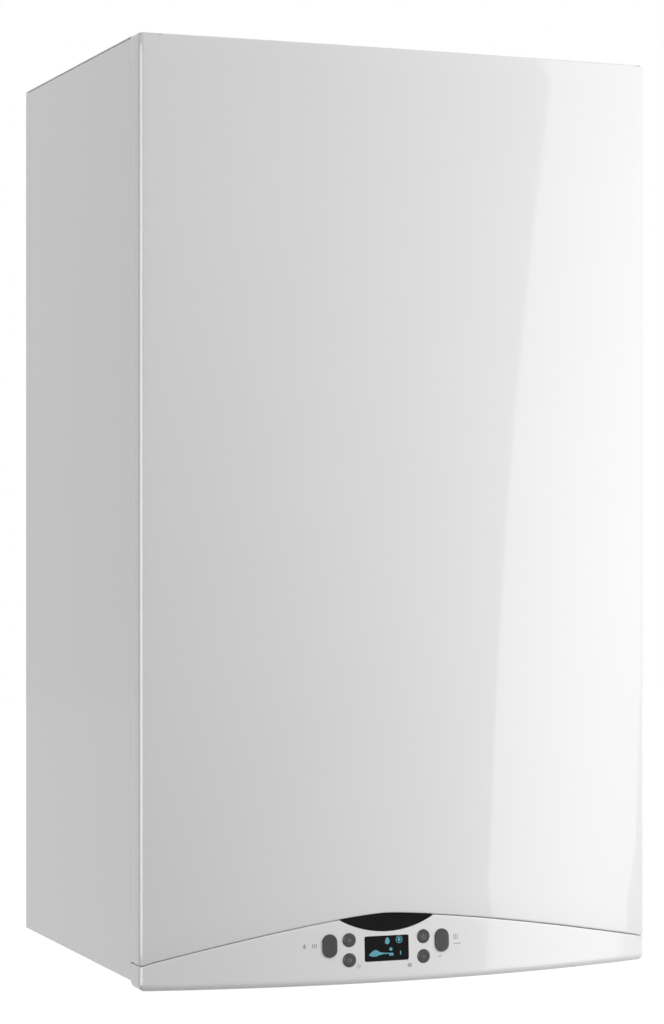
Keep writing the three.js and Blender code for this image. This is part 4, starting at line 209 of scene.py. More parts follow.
def prism(plan, low, high, axis="z"):
    """A closed prism of a plan's points between two places along an axis."""
    n = len(plan)

    def place(a, b, c):
        return {"z": (a, b, c), "y": (a, c, b), "x": (c, a, b)}[axis]

    points = [place(a, b, low) for a, b in plan] + [place(a, b, high) for a, b in plan]
    faces = [tuple(range(n))[::-1], tuple(range(n, 2 * n))]
    faces += [(i, (i + 1) % n, n + (i + 1) % n, n + i) for i in range(n)]
    return clean(new_object("form", points, faces))


def block(x0, x1, y0, y1, z0, z1, bevel=0.0, segments=2):
    obj = prism([(x0, y0), (x1, y0), (x1, y1), (x0, y1)], z0, z1)
    return add_bevel(obj, bevel, segments) if bevel else obj


def turned(profile, centre, axis="z", sides=64):
    """A turned form: the profile lists radius and distance along the axis, from the centre point."""
    points, faces, rings = [], [], []
    for radius, along in profile:
        if radius <= 1e-9:
            rings.append([len(points)])
            points.append((0, 0, along))
            continue
        rings.append(list(range(len(points), len(points) + sides)))
        for i in range(sides):
            t = 2 * pi * i / sides
            points.append((radius * cos(t), radius * sin(t), along))
    for lower, upper in zip(rings, rings[1:]):
        for i in range(sides):
            j = (i + 1) % sides
            a, b = lower[i % len(lower)], lower[j % len(lower)]
            c, d = upper[j % len(upper)], upper[i % len(upper)]
            face = [a, b, c, d]
            face = [v for k, v in enumerate(face) if v != face[k - 1]]
            if len(face) > 2:
                faces.append(tuple(face))
    turn = {"z": (0, 1, 2), "y": (0, 2, 1), "x": (2, 0, 1)}[axis]
    placed = []
    for p in points:
        placed.append(tuple(p[turn[k]] + centre[k] for k in range(3)))
    return clean(new_object("form", placed, faces))


def circle_plan(a, b, radius, sides=48):
    return [(a + radius * cos(2 * pi * i / sides), b + radius * sin(2 * pi * i / sides)) for i in range(sides)]


def rounded_plan(a, b, width, height, radius, steps=8):
    plan = []
    for k, (sx, sy) in enumerate(((1, 1), (-1, 1), (-1, -1), (1, -1))):
        cx, cy = a + sx * (width / 2 - radius), b + sy * (height / 2 - radius)
        for i in range(steps + 1):
            t = pi / 2 * (k + i / steps)
            plan.append((cx + radius * cos(t), cy + radius * sin(t)))
    return plan


# ---- Materials ----


def feed(tree, node, inputs):
    """Sets a node's inputs to plain values, or links them to other nodes' outputs."""
    for key, value in inputs.items():
        if isinstance(value, bpy.types.NodeSocket):
            tree.links.new(value, node.inputs[key])
        else:
            node.inputs[key].default_value = value


def make(tree, kind, inputs):
    node = tree.nodes.new("ShaderNode" + kind)
    feed(tree, node, inputs)
    return node


def principled(name):
    material = bpy.data.materials.new(name)
    material.use_nodes = True
    return material, material.node_tree, material.node_tree.nodes["Principled BSDF"]


def ramp(tree, source, low, high, positions=(0.0, 1.0)):
    node = make(tree, "ValToRGB", {"Fac": source})
    for element, position, color in zip(node.color_ramp.elements, positions, (low, high)):
        element.position = position
        element.color = (*color, 1)
    return node.outputs["Color"]


def surface(
    name, color, roughness, metallic=0.0, shade=0.03, shade_scale=40, rough_spread=0.04, rough_scale=90, grain=None,
    grain_height=0.00002, stretch=(1, 1, 1), coat=0.0, coat_roughness=0.05, flakes=None, specular=0.5,
):
    """A procedural finish: a colour that drifts a little, a roughness that varies, and a fine relief."""
    material, tree, bsdf = principled(name)
    where = make(tree, "TexCoord", {}).outputs["Object"]
    stretched = make(tree, "Mapping", {"Vector": where, "Scale": stretch}).outputs["Vector"]

    def noise(scale, detail):
        return make(tree, "TexNoise", {"Vector": stretched, "Scale": scale, "Detail": detail}).outputs["Fac"]

    if flakes:
        cells = make(tree, "TexVoronoi", {"Vector": where, "Scale": flakes})
        source = make(tree, "SeparateColor", {"Color": cells.outputs["Color"]}).outputs["Red"]
    else:
        source = noise(shade_scale, 4)
    low, high = ([min(1.0, c * k) for c in color] for k in (1 - shade, 1 + shade))
    limits = {"To Min": roughness - rough_spread, "To Max": roughness + rough_spread}
    spread = make(tree, "MapRange", {"Value": noise(rough_scale, 3), **limits})
    feed(tree, bsdf, {
        "Base Color": ramp(tree, source, low, high, (0.3, 0.7)), "Roughness": spread.outputs["Result"],
        "Metallic": metallic, "Specular IOR Level": specular, "Coat Weight": coat, "Coat Roughness": coat_roughness,
    })
    if grain:
        bump = make(tree, "Bump", {"Height": noise(grain, 2), "Distance": grain_height, "Strength": 0.6})
        feed(tree, bsdf, {"Normal": bump.outputs["Normal"]})
    return material


def glow(name, color, strength):
    """A lit finish whose colour varies a little."""
    material, tree, bsdf = principled(name)
    where = make(tree, "TexCoord", {}).outputs["Object"]
    drift = make(tree, "TexNoise", {"Vector": where, "Scale": 260}).outputs["Fac"]
    lit = ramp(tree, drift, [c * 0.75 for c in color], color)
    feed(tree, bsdf, {"Roughness": 0.3, "Emission Strength": strength, "Base Color": lit, "Emission Color": lit})
    return material


PAINT = surface("white_powder_coat", (0.83, 0.83, 0.825), 0.34, shade=0.006, shade_scale=9, rough_spread=0.02,
    grain=420, grain_height=0.00001, coat=0.5, coat_roughness=0.04, specular=0.3)
FASCIA_WHITE = surface("white_moulding", (0.86, 0.86, 0.855), 0.36, shade=0.008, shade_scale=14, rough_spread=0.03,
    grain=1500, grain_height=0.000012, coat=0.5, coat_roughness=0.07, specular=0.3)
ZINC = surface("zinc_coated_sheet", (0.62, 0.64, 0.66), 0.42, 0.9, shade=0.055, flakes=120, rough_spread=0.1,
    rough_scale=60)
STEEL = surface("brushed_stainless", (0.6, 0.6, 0.6), 0.3, 1.0, shade=0.05, shade_scale=60, rough_spread=0.07,
    grain=120, grain_height=0.00001, stretch=(1, 1, 14))
COPPER = surface("drawn_copper", (0.72, 0.36, 0.22), 0.3, 1.0, shade=0.16, shade_scale=24, rough_spread=0.1,
    grain=300, grain_height=0.00001)
BRASS = surface("machined_brass", (0.68, 0.5, 0.2), 0.33, 1.0, shade=0.1, shade_scale=40, rough_spread=0.08,
    grain=700, grain_height=0.00001)
CAST = surface("die_cast_aluminium", (0.44, 0.45, 0.46), 0.52, 0.85, shade=0.06, shade_scale=60, rough_spread=0.08,
    grain=650, grain_height=0.00008)
DARK = surface("dark_moulding", (0.03, 0.031, 0.034), 0.48, shade=0.15, shade_scale=30, rough_spread=0.06, grain=1200,
    grain_height=0.00003)
KEY_GREY = surface("dark_grey_keys", (0.055, 0.055, 0.058), 0.42, shade=0.08, shade_scale=160, grain=2600,
    grain_height=0.000012, specular=0.35)
GLOSS_BLACK = surface("gloss_black", (0.004, 0.004, 0.005), 0.13, shade=0.2, shade_scale=80, rough_spread=0.02,
    specular=0.12)
GREY = surface("grey_moulding", (0.27, 0.28, 0.29), 0.5, shade=0.05, shade_scale=30, grain=1200, grain_height=0.00003)
RED_PAINT = surface("red_powder_coat", (0.42, 0.028, 0.02), 0.36, shade=0.05, shade_scale=16, grain=380,
    grain_height=0.00003, coat=0.3)
RED = surface("red_moulding", (0.5, 0.03, 0.02), 0.42, shade=0.05, shade_scale=60, grain=1200, grain_height=0.00002)
BLUE = surface("blue_moulding", (0.03, 0.11, 0.36), 0.42, shade=0.05, shade_scale=60, grain=1200,
    grain_height=0.00002)
RUBBER = surface("black_rubber", (0.02, 0.02, 0.021), 0.78, shade=0.2, shade_scale=50, grain=900,
    grain_height=0.00005)
CERAMIC = surface("glazed_ceramic", (0.74, 0.71, 0.63), 0.22, shade=0.03, shade_scale=80, coat=0.5)
BOARD = surface("circuit_board", (0.015, 0.11, 0.055), 0.36, shade=0.35, flakes=240, rough_spread=0.05, coat=0.4)
MARK = surface("printed_grey", (0.42, 0.42, 0.42), 0.5, shade=0.05, shade_scale=300)
KEY_MARK = surface("key_signs", (0.24, 0.24, 0.25), 0.5, shade=0.05, shade_scale=300)
LIT = glow("lit_segments", (0.07, 0.26, 0.32), 0.6)

SLOT_LOOKS = {
    "case_paint": PAINT, "galvanised": ZINC, "seal": RUBBER, "fascia": FASCIA_WHITE, "badge": GLOSS_BLACK,
    "window": GLOSS_BLACK, "circuit_board": BOARD, "keypad": RUBBER, "keys": KEY_GREY, "box": DARK, "steel": STEEL,
    "copper": COPPER, "brass": BRASS, "cast": CAST, "ceramic": CERAMIC, "red_paint": RED_PAINT,
    "red_plastic": RED, "blue_plastic": BLUE, "grey_plastic": GREY, "caps": RUBBER,
}
SLOT_OF = {s["node"]: s["material_slot"] for s in frame["record"]["subparts"]}
for node_name, node in frame["nodes"].items():
    look = SLOT_LOOKS[SLOT_OF[node_name]]
    node.data.materials.clear()
    node.data.materials.append(look)

# ---- The bowed front ----

CORNER_STEPS = 8
BOW_STEPS = 96
RETURN_STEPS = 2


def front_line(height, inset, back_y):
    """The front's plan at a height given as a function of x, from the back of the left return round both
    corners to the back of the right return."""
    halves = []
    for side in (-1, 1):
        z = height(side * HALF_W)
        lean = math.atan(4 * bow_at(z) / CASE_W)
        arc_end = HALF_W - CORNER_R * (1 - sin(lean))
        arc_y = front_y(arc_end, z) + CORNER_R * cos(lean)
        radius = max(CORNER_R - inset, 0.4)
        deeper = inset + radius - CORNER_R
        line = []
        for i in range(RETURN_STEPS):
            t = i / RETURN_STEPS
            line.append((side * (HALF_W - inset), back_y + (arc_y + deeper - back_y) * t, z))
        for i in range(CORNER_STEPS + 1):
            angle = i / CORNER_STEPS * (pi / 2 - lean)
            x = side * (HALF_W - inset - radius * (1 - cos(angle)))
            line.append((x, arc_y + deeper - radius * sin(angle), z))
        halves.append(line)
    middle = []
    for i in range(1, BOW_STEPS):
        x = (HALF_W - CORNER_R) * (2 * i / BOW_STEPS - 1)
        z = height(x)
        slope = 2 * bow_at(z) * x / HALF_W**2
        length = math.hypot(slope, 1)
        middle.append((x - inset * slope / length, front_y(x, z) + inset / length, z))
    return halves[0] + middle + halves[1][::-1]


def front_shell(name, rows, back_y):
    """Each row lists the height and inset of the outer face, then those of the inner one."""
    outer = [front_line(h, i, back_y) for h, i, _, _ in rows]
    inner = [front_line(h, i, back_y) for _, _, h, i in rows]
    return shell(name, outer, inner)


def cover_foot(x):
    return seam_z(x) + SEAM_GAP / 2


def fascia_top(x):
    return seam_z(x) - SEAM_GAP / 2


def arc_rows(centre, radius, thickness, start, end, steps):
    """Rows round a bend: centre is a height function, and angles run from facing down (0) to facing out (90)."""
    rows = []
    for i in range(steps + 1):
        t = radians(start + (end - start) * i / steps)
        out, into = radius, radius - thickness

        def row_at(r, t=t):
            return (lambda x: centre(x) - r * cos(t)), radius - r * sin(t)

        rows.append((*row_at(out), *row_at(into)))
    return rows


def front_cover():
    bend = 1.6
    foot = arc_rows(lambda x: cover_foot(x) + bend, bend, SHEET, 0, 90, 5)
    fold = [(cover_foot, 9, lambda x: cover_foot(x) + SHEET, 9)]
    wall_steps = 40
    low, high = (lambda x: cover_foot(x) + bend), CASE_H - bend
    upright = []
    for i in range(1, wall_steps):
        share = i / wall_steps

        def height(x, share=share):
            return low(x) + (high - low(x)) * share

        upright.append((height, 0, height, SHEET))
    top = []
    for i in range(6):
        t = radians(90 * i / 5)
        out, into = bend, bend - SHEET
        top.append((lambda x, r=out, t=t: high + r * sin(t), bend - out * cos(t), lambda x, r=into, t=t: high
            + r * sin(t), bend - into * cos(t)))
    wall = front_shell("wall", fold + foot + upright + top, COVER_BACK_Y)
    plan = front_line(lambda x: CASE_H, bend - 0.15, COVER_BACK_Y)
    lid = prism([(x, y) for x, y, _ in plan], CASE_H - SHEET, CASE_H - 0.01)
    relief_x = HALF_W - CORNER_R - 7

    def reliefs():
        cutters = []
        for side in (-1, 1):
            x = side * relief_x
            y = front_y(x, CASE_H)
            cutters.append(block(x - 7, x + 7, y - 1, y + 2.2, CASE_H - 1.2, CASE_H + 1))
        return cutters

    wall = carve(wall, reliefs())
    lid = carve(lid, reliefs())
    hem_foot = SEAM_END_H + SEAM_GAP / 2
    hem_y = COVER_BACK_Y - SHEET
    hems = [
        block(-HALF_W + 0.5, -HALF_W + 11, hem_y, COVER_BACK_Y, hem_foot, CASE_H - 0.5, 0.3),
        block(HALF_W - 11, HALF_W - 0.5, hem_y, COVER_BACK_Y, hem_foot, CASE_H - 0.5, 0.3),
        block(-HALF_W + 11, HALF_W - 11, hem_y, COVER_BACK_Y, CASE_H - 11, CASE_H - 0.5, 0.3),
    ]
    piece = join("front_cover_sheet", [wall, lid, *hems])
    return finish_piece(piece, "cover", PAINT, ["front_cover"])


def through_front(plan):
    """A prism that passes through the bowed front, to cut with."""
    return prism(plan, -375.0, -312.0, axis="y")


def badge_plan(margin):
    half = BADGE_W / 2 + margin
    top = seam_z(CONTROLS_X + BADGE_W / 2)
    drop = BADGE_DROP + margin
    radius = (half**2 + drop**2) / (2 * drop)
    spread = math.asin(half / radius)
    arc = []
    for i in range(49):
        angle = spread * (i / 24 - 1)
        arc.append((CONTROLS_X + radius * sin(angle), top - drop + radius * (1 - cos(angle))))
    peak = top + SEAM_RISE
    return arc + [(CONTROLS_X + half, peak), (CONTROLS_X - half, peak)]


def rocker_plan(side, margin):
    width = ROCKER_W + 2 * margin
    return rounded_plan(CONTROLS_X + side * ROCKER_X, ROCKER_Z, width, ROCKER_H + 2 * margin, width / 2 - 0.01, 16)


def display_plan(margin):
    return rounded_plan(CONTROLS_X, DISPLAY_Z, DISPLAY_W + 2 * margin, DISPLAY_H + 2 * margin, 1.5, 6)


def wall_rows(outer, inner, steps=14):
    rows = []
    for i in range(steps + 1):
        share = i / steps

        def height(x, share=share):
            return FASCIA_EDGE_R + (fascia_top(x) - FASCIA_EDGE_R) * share

        rows.append((height, outer, height, inner))
    return rows


BUTTON_PLACES = [(CONTROLS_X + side * BUTTON_X, z) for side in (-1, 1) for z in BUTTON_ZS]


def control_fascia():
    edge = FASCIA_EDGE_R
    rows = [(lambda x: 0.0, edge + 1, lambda x: FASCIA_T, edge + 1)]
    rows += arc_rows(lambda x: edge, edge, FASCIA_T, 0, 90, 10)
    rows += wall_rows(0, FASCIA_T)[1:-1]
    lip = 0.8
    rows.append((lambda x: fascia_top(x) - lip, 0, lambda x: fascia_top(x) - 1.6, FASCIA_T))
    for i in range(1, 5):
        t = radians(90 * i / 4)
        rows.append((lambda x, t=t: fascia_top(x) - lip + lip * sin(t), lip * (1 - cos(t)),
            lambda x: fascia_top(x) - 1.6, FASCIA_T + 0.1 * i))
    rows.append((fascia_top, FASCIA_T + 8, lambda x: fascia_top(x) - 1.6, FASCIA_T + 8))
    wall = front_shell("wall", rows, FASCIA_BACK_Y)
    cutters = [through_front(badge_plan(0.25)), through_front(display_plan(0))]
    cutters += [through_front(rocker_plan(side, 0.2)) for side in (-1, 1)]
    cutters += [through_front(circle_plan(x, z, BUTTON_R + 0.2, 64)) for x, z in BUTTON_PLACES]
    wall = carve(wall, cutters)
    plan = front_line(lambda x: 0.0, edge + 0.5, FASCIA_BACK_Y)
    floor = prism([(x, y) for x, y, _ in plan], 0.02, FASCIA_T)
    tray = block(-200, 200, FASCIA_BACK_Y - 0.3, -205, 0.02, FASCIA_T, 0.6)
    supports = [block(x - 1, x + 1, -309, -205.2, 1.2, 7.7, 0.2) for x in (-148.5, -49.5, 49.5, 148.5)]
    piece = join("control_fascia_moulding", [wall, floor, tray, *supports])
    return finish_piece(piece, "control_unit", FASCIA_WHITE, ["control_fascia"], angle=28)


def slab(name, outer, inner, plan):
    """A piece of the front's wall, cut out by a plan seen from the front."""
    piece = front_shell(name, wall_rows(outer, inner, 30), FASCIA_BACK_Y)
    return carve(piece, [through_front(plan)], "INTERSECT")


def badge():
    piece = slab("badge_crescent", 0.05, 1.5, badge_plan(0))
    return finish_piece(piece, "control_unit", GLOSS_BLACK, ["badge_insert"])


def display():
    pane = slab("pane", 0.3, 3.1, display_plan(-0.3))
    rim = slab("rim", 2.8, 3.8, display_plan(1.8))
    piece = join("display_pane", [pane, rim])
    return finish_piece(piece, "control_unit", GLOSS_BLACK, ["display_window"])


def ellipse(a, b, width, height, sides=40):
    turns = [2 * pi * i / sides for i in range(sides)]
    return [(a + width / 2 * cos(t), b + height / 2 * sin(t)) for t in turns]


def on_front(name, plans, depth, material):
    """Thin printed or lit marks that follow the front, at a depth behind its surface."""
    marks = []
    for plan in plans:
        n = len(plan)
        points = [(x, front_y(x, z) + depth, z) for x, z in plan]
        points += [(x, front_y(x, z) + depth + MARK_T, z) for x, z in plan]
        faces = [tuple(range(n)), tuple(range(n, 2 * n))[::-1]]
        faces += [(i, n + i, n + (i + 1) % n, (i + 1) % n) for i in range(n)]
        marks.append(clean(new_object(name, points, faces)))
    return finish_piece(join(name, marks), "control_unit", material)


def ring_strokes(a, b, radius, width, parts=10, start=0.0, end=2 * pi):
    """A ring or an arc as a row of short strokes."""
    strokes = []
    for i in range(parts):
        t0, t1 = start + (end - start) * i / parts, start + (end - start) * (i + 1) / parts
        strokes.append([(a + r * cos(t), b + r * sin(t)) for r,
            t in ((radius, t0), (radius, t1), (radius - width, t1), (radius - width, t0))])
    return strokes


def printed_marks():
    """Plain signs beside the keys: a drop, bars, a ring with a dot, a pad and strokes."""
    drop = [(-92 + 1.5 * sin(t) * sin(t / 2) ** 1.2, 32.2 + 2.1 * cos(t))
        for t in (2 * pi * i / 32 for i in range(32))]
    bars = [rounded_plan(-85.4 + 1.5 * i, 32, 0.8, 3.6, 0.35, 3) for i in range(3)]
    signs = [drop, *bars]
    signs += ring_strokes(-48, 14.6, 1.7, 0.45) + [ellipse(-48, 14.6, 0.9, 0.9, 16)]
    signs += [rounded_plan(-4.8, 13.4, 3.6, 3.0, 0.7, 3), rounded_plan(21.8, 18.9, 3.2, 0.8, 0.35, 3)]
    signs += [rounded_plan(34.2 + 1.5 * i, 33.4, 0.7, 4.6, 0.3, 3)
        for i in range(3)] + [rounded_plan(37.2, 28.0, 6.6, 0.8, 0.35, 3)]
    on_front("printed_marks", signs, -0.02, MARK)


def lit_display():
    """Lit signs behind the pane: a flame, a drop in a ring, a level bar and two small points."""
    flame = [(-23.4 + 1.9 * sin(t) * (1 - 0.25 * cos(t)), 33.4 + 2.7 * cos(t))
        for t in (2 * pi * i / 36 for i in range(36))]
    level = [(-39.2, 22.6), (-37.6, 24.4), (-35, 26.2), (-33, 26.6), (-31, 25.6), (-29.4, 24.6), (-25, 24.0),
        (-18.4, 23.6), (-18.2, 21.6), (-36, 21.4)]
    signs = [flame, level, ellipse(-13.3, 34, 2.6, 3.2), ellipse(-20.5, 26.7, 2.8, 2.6)]
    signs += ring_strokes(-13.3, 34, 2.9, 0.55, 24) + [rounded_plan(-12.3, 23.5, 0.9, 3.2, 0.4, 3)]
    on_front("lit_signs", signs, 0.27, LIT)


KEY_SIGNS = {
    "button_lower_left": lambda x, z: ring_strokes(x, z, 1.5, 0.4, 20),
    "button_upper_left": lambda x, z: [rounded_plan(x - 0.6 + 1.2 * i, z, 0.5, 2.6, 0.2, 3) for i in range(2)],
    "button_lower_right": lambda x, z: [rounded_plan(x, z, 2.8, 0.5, 0.2, 3)],
    "button_upper_right": lambda x, z: [rounded_plan(x, z + 0.9, 0.5, 2.6, 0.2, 3),
        *ring_strokes(x, z, 2.0, 0.4, 20, 0.7 * pi, 2.3 * pi)],
}


def round_key(name, x, z):
    face = front_y(x, z) - 1.0
    r = BUTTON_R
    profile = [(s * (r - 1.2), 0.12 * (1 - s**2)) for s in (i / 8 for i in range(9))]
    profile += [(r - 1.2 + 1.2 * sin(t), 1.2 * (1 - cos(t))) for t in (pi / 12 * i for i in range(1, 7))]
    profile += [(r, 4.1), (r + 1.2, 4.1), (r + 1.2, 5.0), (r - 2, 5.0), (r - 2, 5.6), (0, 5.6)]
    piece = turned(profile, (x, face, z), "y", 64)
    piece.name = name + "_cap"
    signs = [prism(plan, face + 0.01, face + 0.2, "y") for plan in KEY_SIGNS[name](x, z)]
    finish_piece(join(name + "_sign", signs), name, KEY_MARK)
    return finish_piece(piece, name, KEY_GREY, [name], angle=40)


def rocker(name, side):
    piece = add_bevel(slab(name + "_cap", -1.05, 3.5, rocker_plan(side, 0)), 0.7, 4, 55)
    return finish_piece(piece, name, KEY_GREY, [name], angle=40)


front_cover()
control_fascia()
badge()
display()
for key_name, (key_x, key_z) in zip(("button_lower_left", "button_upper_left", "button_lower_right",
    "button_upper_right"), BUTTON_PLACES):
    round_key(key_name, key_x, key_z)
rocker("rocker_left", -1)
rocker("rocker_right", 1)
printed_marks()
lit_display()

# ---- Forms shared by the pieces behind the front ----

BODY_OF = {node: body for body, nodes in frame["record"]["behaviour"]["bodies"].items() for node in nodes}


def even_normals(obj):
    """Keeps large flat faces flat where they meet small bevels."""
    modifier = obj.modifiers.new("even", "WEIGHTED_NORMAL")
    modifier.keep_sharp = True
    modifier.weight = 80
    return apply_modifiers(obj)


def stand_for(node, main, *extras, angle=38):
    """One or more objects in place of a solid. Each extra is an object with a finish of its own."""
    slot_name = SLOT_OF[node]
    main.name = node + "_form"
    finish_piece(main, BODY_OF[node], SLOT_LOOKS[slot_name], [node], angle)
    even_normals(main)
    for i, (extra, look) in enumerate(extras):
        extra.name = f"{node}_detail_{i + 1}"
        finish_piece(extra, BODY_OF[node], look, angle=angle)
        even_normals(extra)
    return main


def refined(node, width):
    """A solid's own form with its edges rounded."""
    source = frame["nodes"][node]
    bm = bmesh.new()
    bm.from_mesh(source.data)
    bm.transform(source.matrix_world)
    bmesh.ops.remove_doubles(bm, verts=bm.verts, dist=2e-6)
    bmesh.ops.dissolve_limit(bm, angle_limit=radians(0.6), verts=bm.verts, edges=bm.edges)
    return add_bevel(from_bmesh(node + "_form", bm), width)


def centre_on(axis, a, b):
    return {"z": (a, b, 0), "y": (a, 0, b), "x": (0, a, b)}[axis]


def rod(radius, low, high, a, b, axis="z", edge=0.4, sides=48):
    """A round bar with softened ends, about the line through a and b along an axis."""
    e = min(edge, radius / 2, (high - low) / 2)
    k = e * 0.29
    profile = [(0, low), (radius - e, low), (radius - k, low + k), (radius, low + e)]
    profile += [(radius, high - e), (radius - k, high - k), (radius - e, high), (0, high)]
    return turned(profile, centre_on(axis, a, b), axis, sides)


def ring(outer, inner, low, high, a, b, axis="z", edge=0.3, sides=64):
    e = min(edge, (outer - inner) / 3, (high - low) / 3)
    profile = [(inner + e, low), (outer - e, low), (outer, low + e), (outer, high - e)]
    profile += [(outer - e, high), (inner + e, high), (inner, high - e), (inner, low + e), (inner + e, low)]
    return turned(profile, centre_on(axis, a, b), axis, sides)


def hexagon(a, b, across, turn=0.0):
    r = across / math.sqrt(3)
    return [(a + r * cos(pi / 3 * i + turn), b + r * sin(pi / 3 * i + turn)) for i in range(6)]


def nut(across, low, high, a, b, axis="z", turn=0.0):
    """A hexagon with its corners turned off at both ends."""
    body = prism(hexagon(a, b, across, turn), low, high, axis)
    r = across / math.sqrt(3)
    profile = [(0, low), (across / 2, low), (r + 0.1, low + r - across / 2 + 0.1)]
    profile += [(r + 0.1, high - r + across / 2 - 0.1), (across / 2, high), (0, high)]
    return carve(body, [turned(profile, centre_on(axis, a, b), axis, 48)], "INTERSECT")


def soft_prism(plan, low, high, axis="z", bevel=1.0, segments=3, angle=40):
    return add_bevel(prism(plan, low, high, axis), bevel, segments, angle)


def smooth_path(corners, bend, steps=8):
    """Straight runs joined by the same bends as the pipes of the solids."""
    corners = [Vector(c) for c in corners]
    points = [corners[0]]
    for before, corner, after in zip(corners, corners[1:], corners[2:]):
        back, ahead = before - corner, after - corner
        reach = min(bend, back.length / 2, ahead.length / 2)
        start, end = corner + back.normalized() * reach, corner + ahead.normalized() * reach
        for i in range(steps + 1):
            t = i / steps
            points.append(start * (1 - t) ** 2 + corner * (2 * t * (1 - t)) + end * t**2)
    points.append(corners[-1])
    return points


def tube_along(points, radius, sides=32):
    """A round tube that follows a line of points, closed at both ends."""
    rings, normal = [], None
    for i, point in enumerate(points):
        tangent = (points[min(i + 1, len(points) - 1)] - points[max(i - 1, 0)]).normalized()
        if normal is None:
            normal = tangent.orthogonal().normalized()
        normal = (normal - tangent * normal.dot(tangent)).normalized()
        other = tangent.cross(normal)
        turns = [2 * pi * k / sides for k in range(sides)]
        rings.append([point + (normal * cos(t) + other * sin(t)) * radius for t in turns])
    faces = skin_faces(len(rings), sides, 0, False, wrap=True)
    faces.append(tuple(range(sides))[::-1])
    faces.append(tuple(range((len(rings) - 1) * sides, len(rings) * sides)))
    return clean(new_object("tube", [tuple(p) for line in rings for p in line], faces))


def tube(corners, radius, bend, sides=32):
    return tube_along(smooth_path(corners, bend), radius, sides)


def screw_head(x, y, z, axis="z", outwards=1, radius=3.4):
    """A pan head with a cross recess, standing on a face."""
    height = 2.0
    profile = [(0, 0), (radius, 0), (radius, 0.5), (radius * 0.93, 1.1), (radius * 0.7, 1.7), (radius * 0.35, height),
        (0, height)]
    profile = [(r, outwards * h) for r, h in profile]
    head = turned(profile, (x, y, z), axis, 32)
    reach = radius * 0.55
    near, far = sorted((outwards * 0.9, outwards * (height + 0.5)))

    def arm(a, b):
        spans = {"z": ((-a, a), (-b, b), (near, far)), "y": ((-a, a), (near, far), (-b, b)),
            "x": ((near, far), (-a, a), (-b, b))}[axis]
        (x0, x1), (y0, y1), (z0, z1) = spans
        return block(x + x0, x + x1, y + y0, y + y1, z + z0, z + z1)

    return carve(head, [arm(reach, 0.45), arm(0.45, reach)])


def extra_piece(name, obj, body, look, angle=38):
    obj.name = name
    return finish_piece(obj, body, look, angle=angle)


# ---- Case ----

BACK_Y = -13.2
FLUE_Y = 165.0
PIPE_Y = 85.0
PIPE_PITCH = 65.0

for sheet_node, sheet_bevel in (
    ("wall_bracket", 0.6), ("back_frame", 0.4), ("side_panel_left", 0.4), ("side_panel_right", 0.4), ("cover_seal",
        0.9),
    ("control_box", 0.6), ("control_box_lid", 0.5), ("display_board", 0.2), ("keypad", 0.4), ("cable_grommet", 0.6),
    ("hinge_bracket_left", 0.3), ("hinge_bracket_right", 0.3),
):
    stand_for(sheet_node, refined(sheet_node, sheet_bevel))


def top_panel():
    lip_half = HALF_W - LIP_W - 0.5
    lidded = block(-HALF_W, HALF_W, PANEL_FRONT_Y, 0, CASE_H - 1, CASE_H, 0.35)
    fold = block(-lip_half, lip_half, PANEL_FRONT_Y, LIP_Y + 1, CASE_H - 2, CASE_H - 0.4, 0.3)
    lip = block(-lip_half, lip_half, LIP_Y, LIP_Y + 1, CASE_H - LIP_W, CASE_H - 0.4, 0.3)
    flanges = [block(side * 218 - 0.5, side * 218 + 0.5, LIP_Y + 1.5, BACK_Y - 0.5, CASE_H - LIP_W,
        CASE_H - 0.4, 0.3) for side in (-1, 1)]
    holes = [rod(48.5, CASE_H - 5, CASE_H + 2, 0, -FLUE_Y, edge=0),
        rod(7, CASE_H - 5, CASE_H + 2, -64, -FLUE_Y, edge=0)]
    holes.append(rod(7, CASE_H - 5, CASE_H + 2, 64, -FLUE_Y, edge=0))
    return join("top", [carve(lidded, holes), fold, lip, *flanges])


stand_for("top_panel", top_panel())


def mid_frame():
    right = [(188, -98.5), (188, -13.5), (204.5, -13.5), (204.5, -15), (189.5, -15), (189.5, -100)]
    left = [(-x, y) for x, y in right][::-1]
    hat = soft_prism(right + left, 385, 595, bevel=0.4, segments=2)
    cutters = [rod(15, -101, -98, side * 153, 490 + up * 52.5, "y", edge=0) for side in (-1, 1) for up in (-1, 1)]
    rims = [ring(17.5, 15, -100.9, -99.6, side * 153, 490 + up * 52.5, "y", 0.4) for side in (-1, 1)
        for up in (-1, 1)]
    return join("hat", [carve(hat, cutters), *rims])


stand_for("mid_frame", mid_frame())


def connection_rail():
    half, front, back, top = 205.3, -159.5, -13.5, 56.0
    floor = block(-half, half, front, back, 30, 31.5, 0.3)
    holes = []
    for i, radius in ((-2, 13.5), (-1, 10.8), (0, 13.5), (1, 10.8), (2, 13.5), (1.5, 6.3)):
        holes.append(rod(radius, 28, 33, i * PIPE_PITCH, -PIPE_Y, edge=0))
    floor = carve(floor, holes)
    parts = [
        floor,
        block(-half, half, back - 1.5, back, 30.2, top, 0.3),
        block(-half, -half + 1.5, front, back, 30.2, top, 0.3),
        block(half - 1.5, half, front, back, 30.2, top, 0.3),
        block(-half, half, front, front + 1.5, 18, 31.3, 0.3),
    ]
    return join("rail", parts)


stand_for("connection_rail", connection_rail())


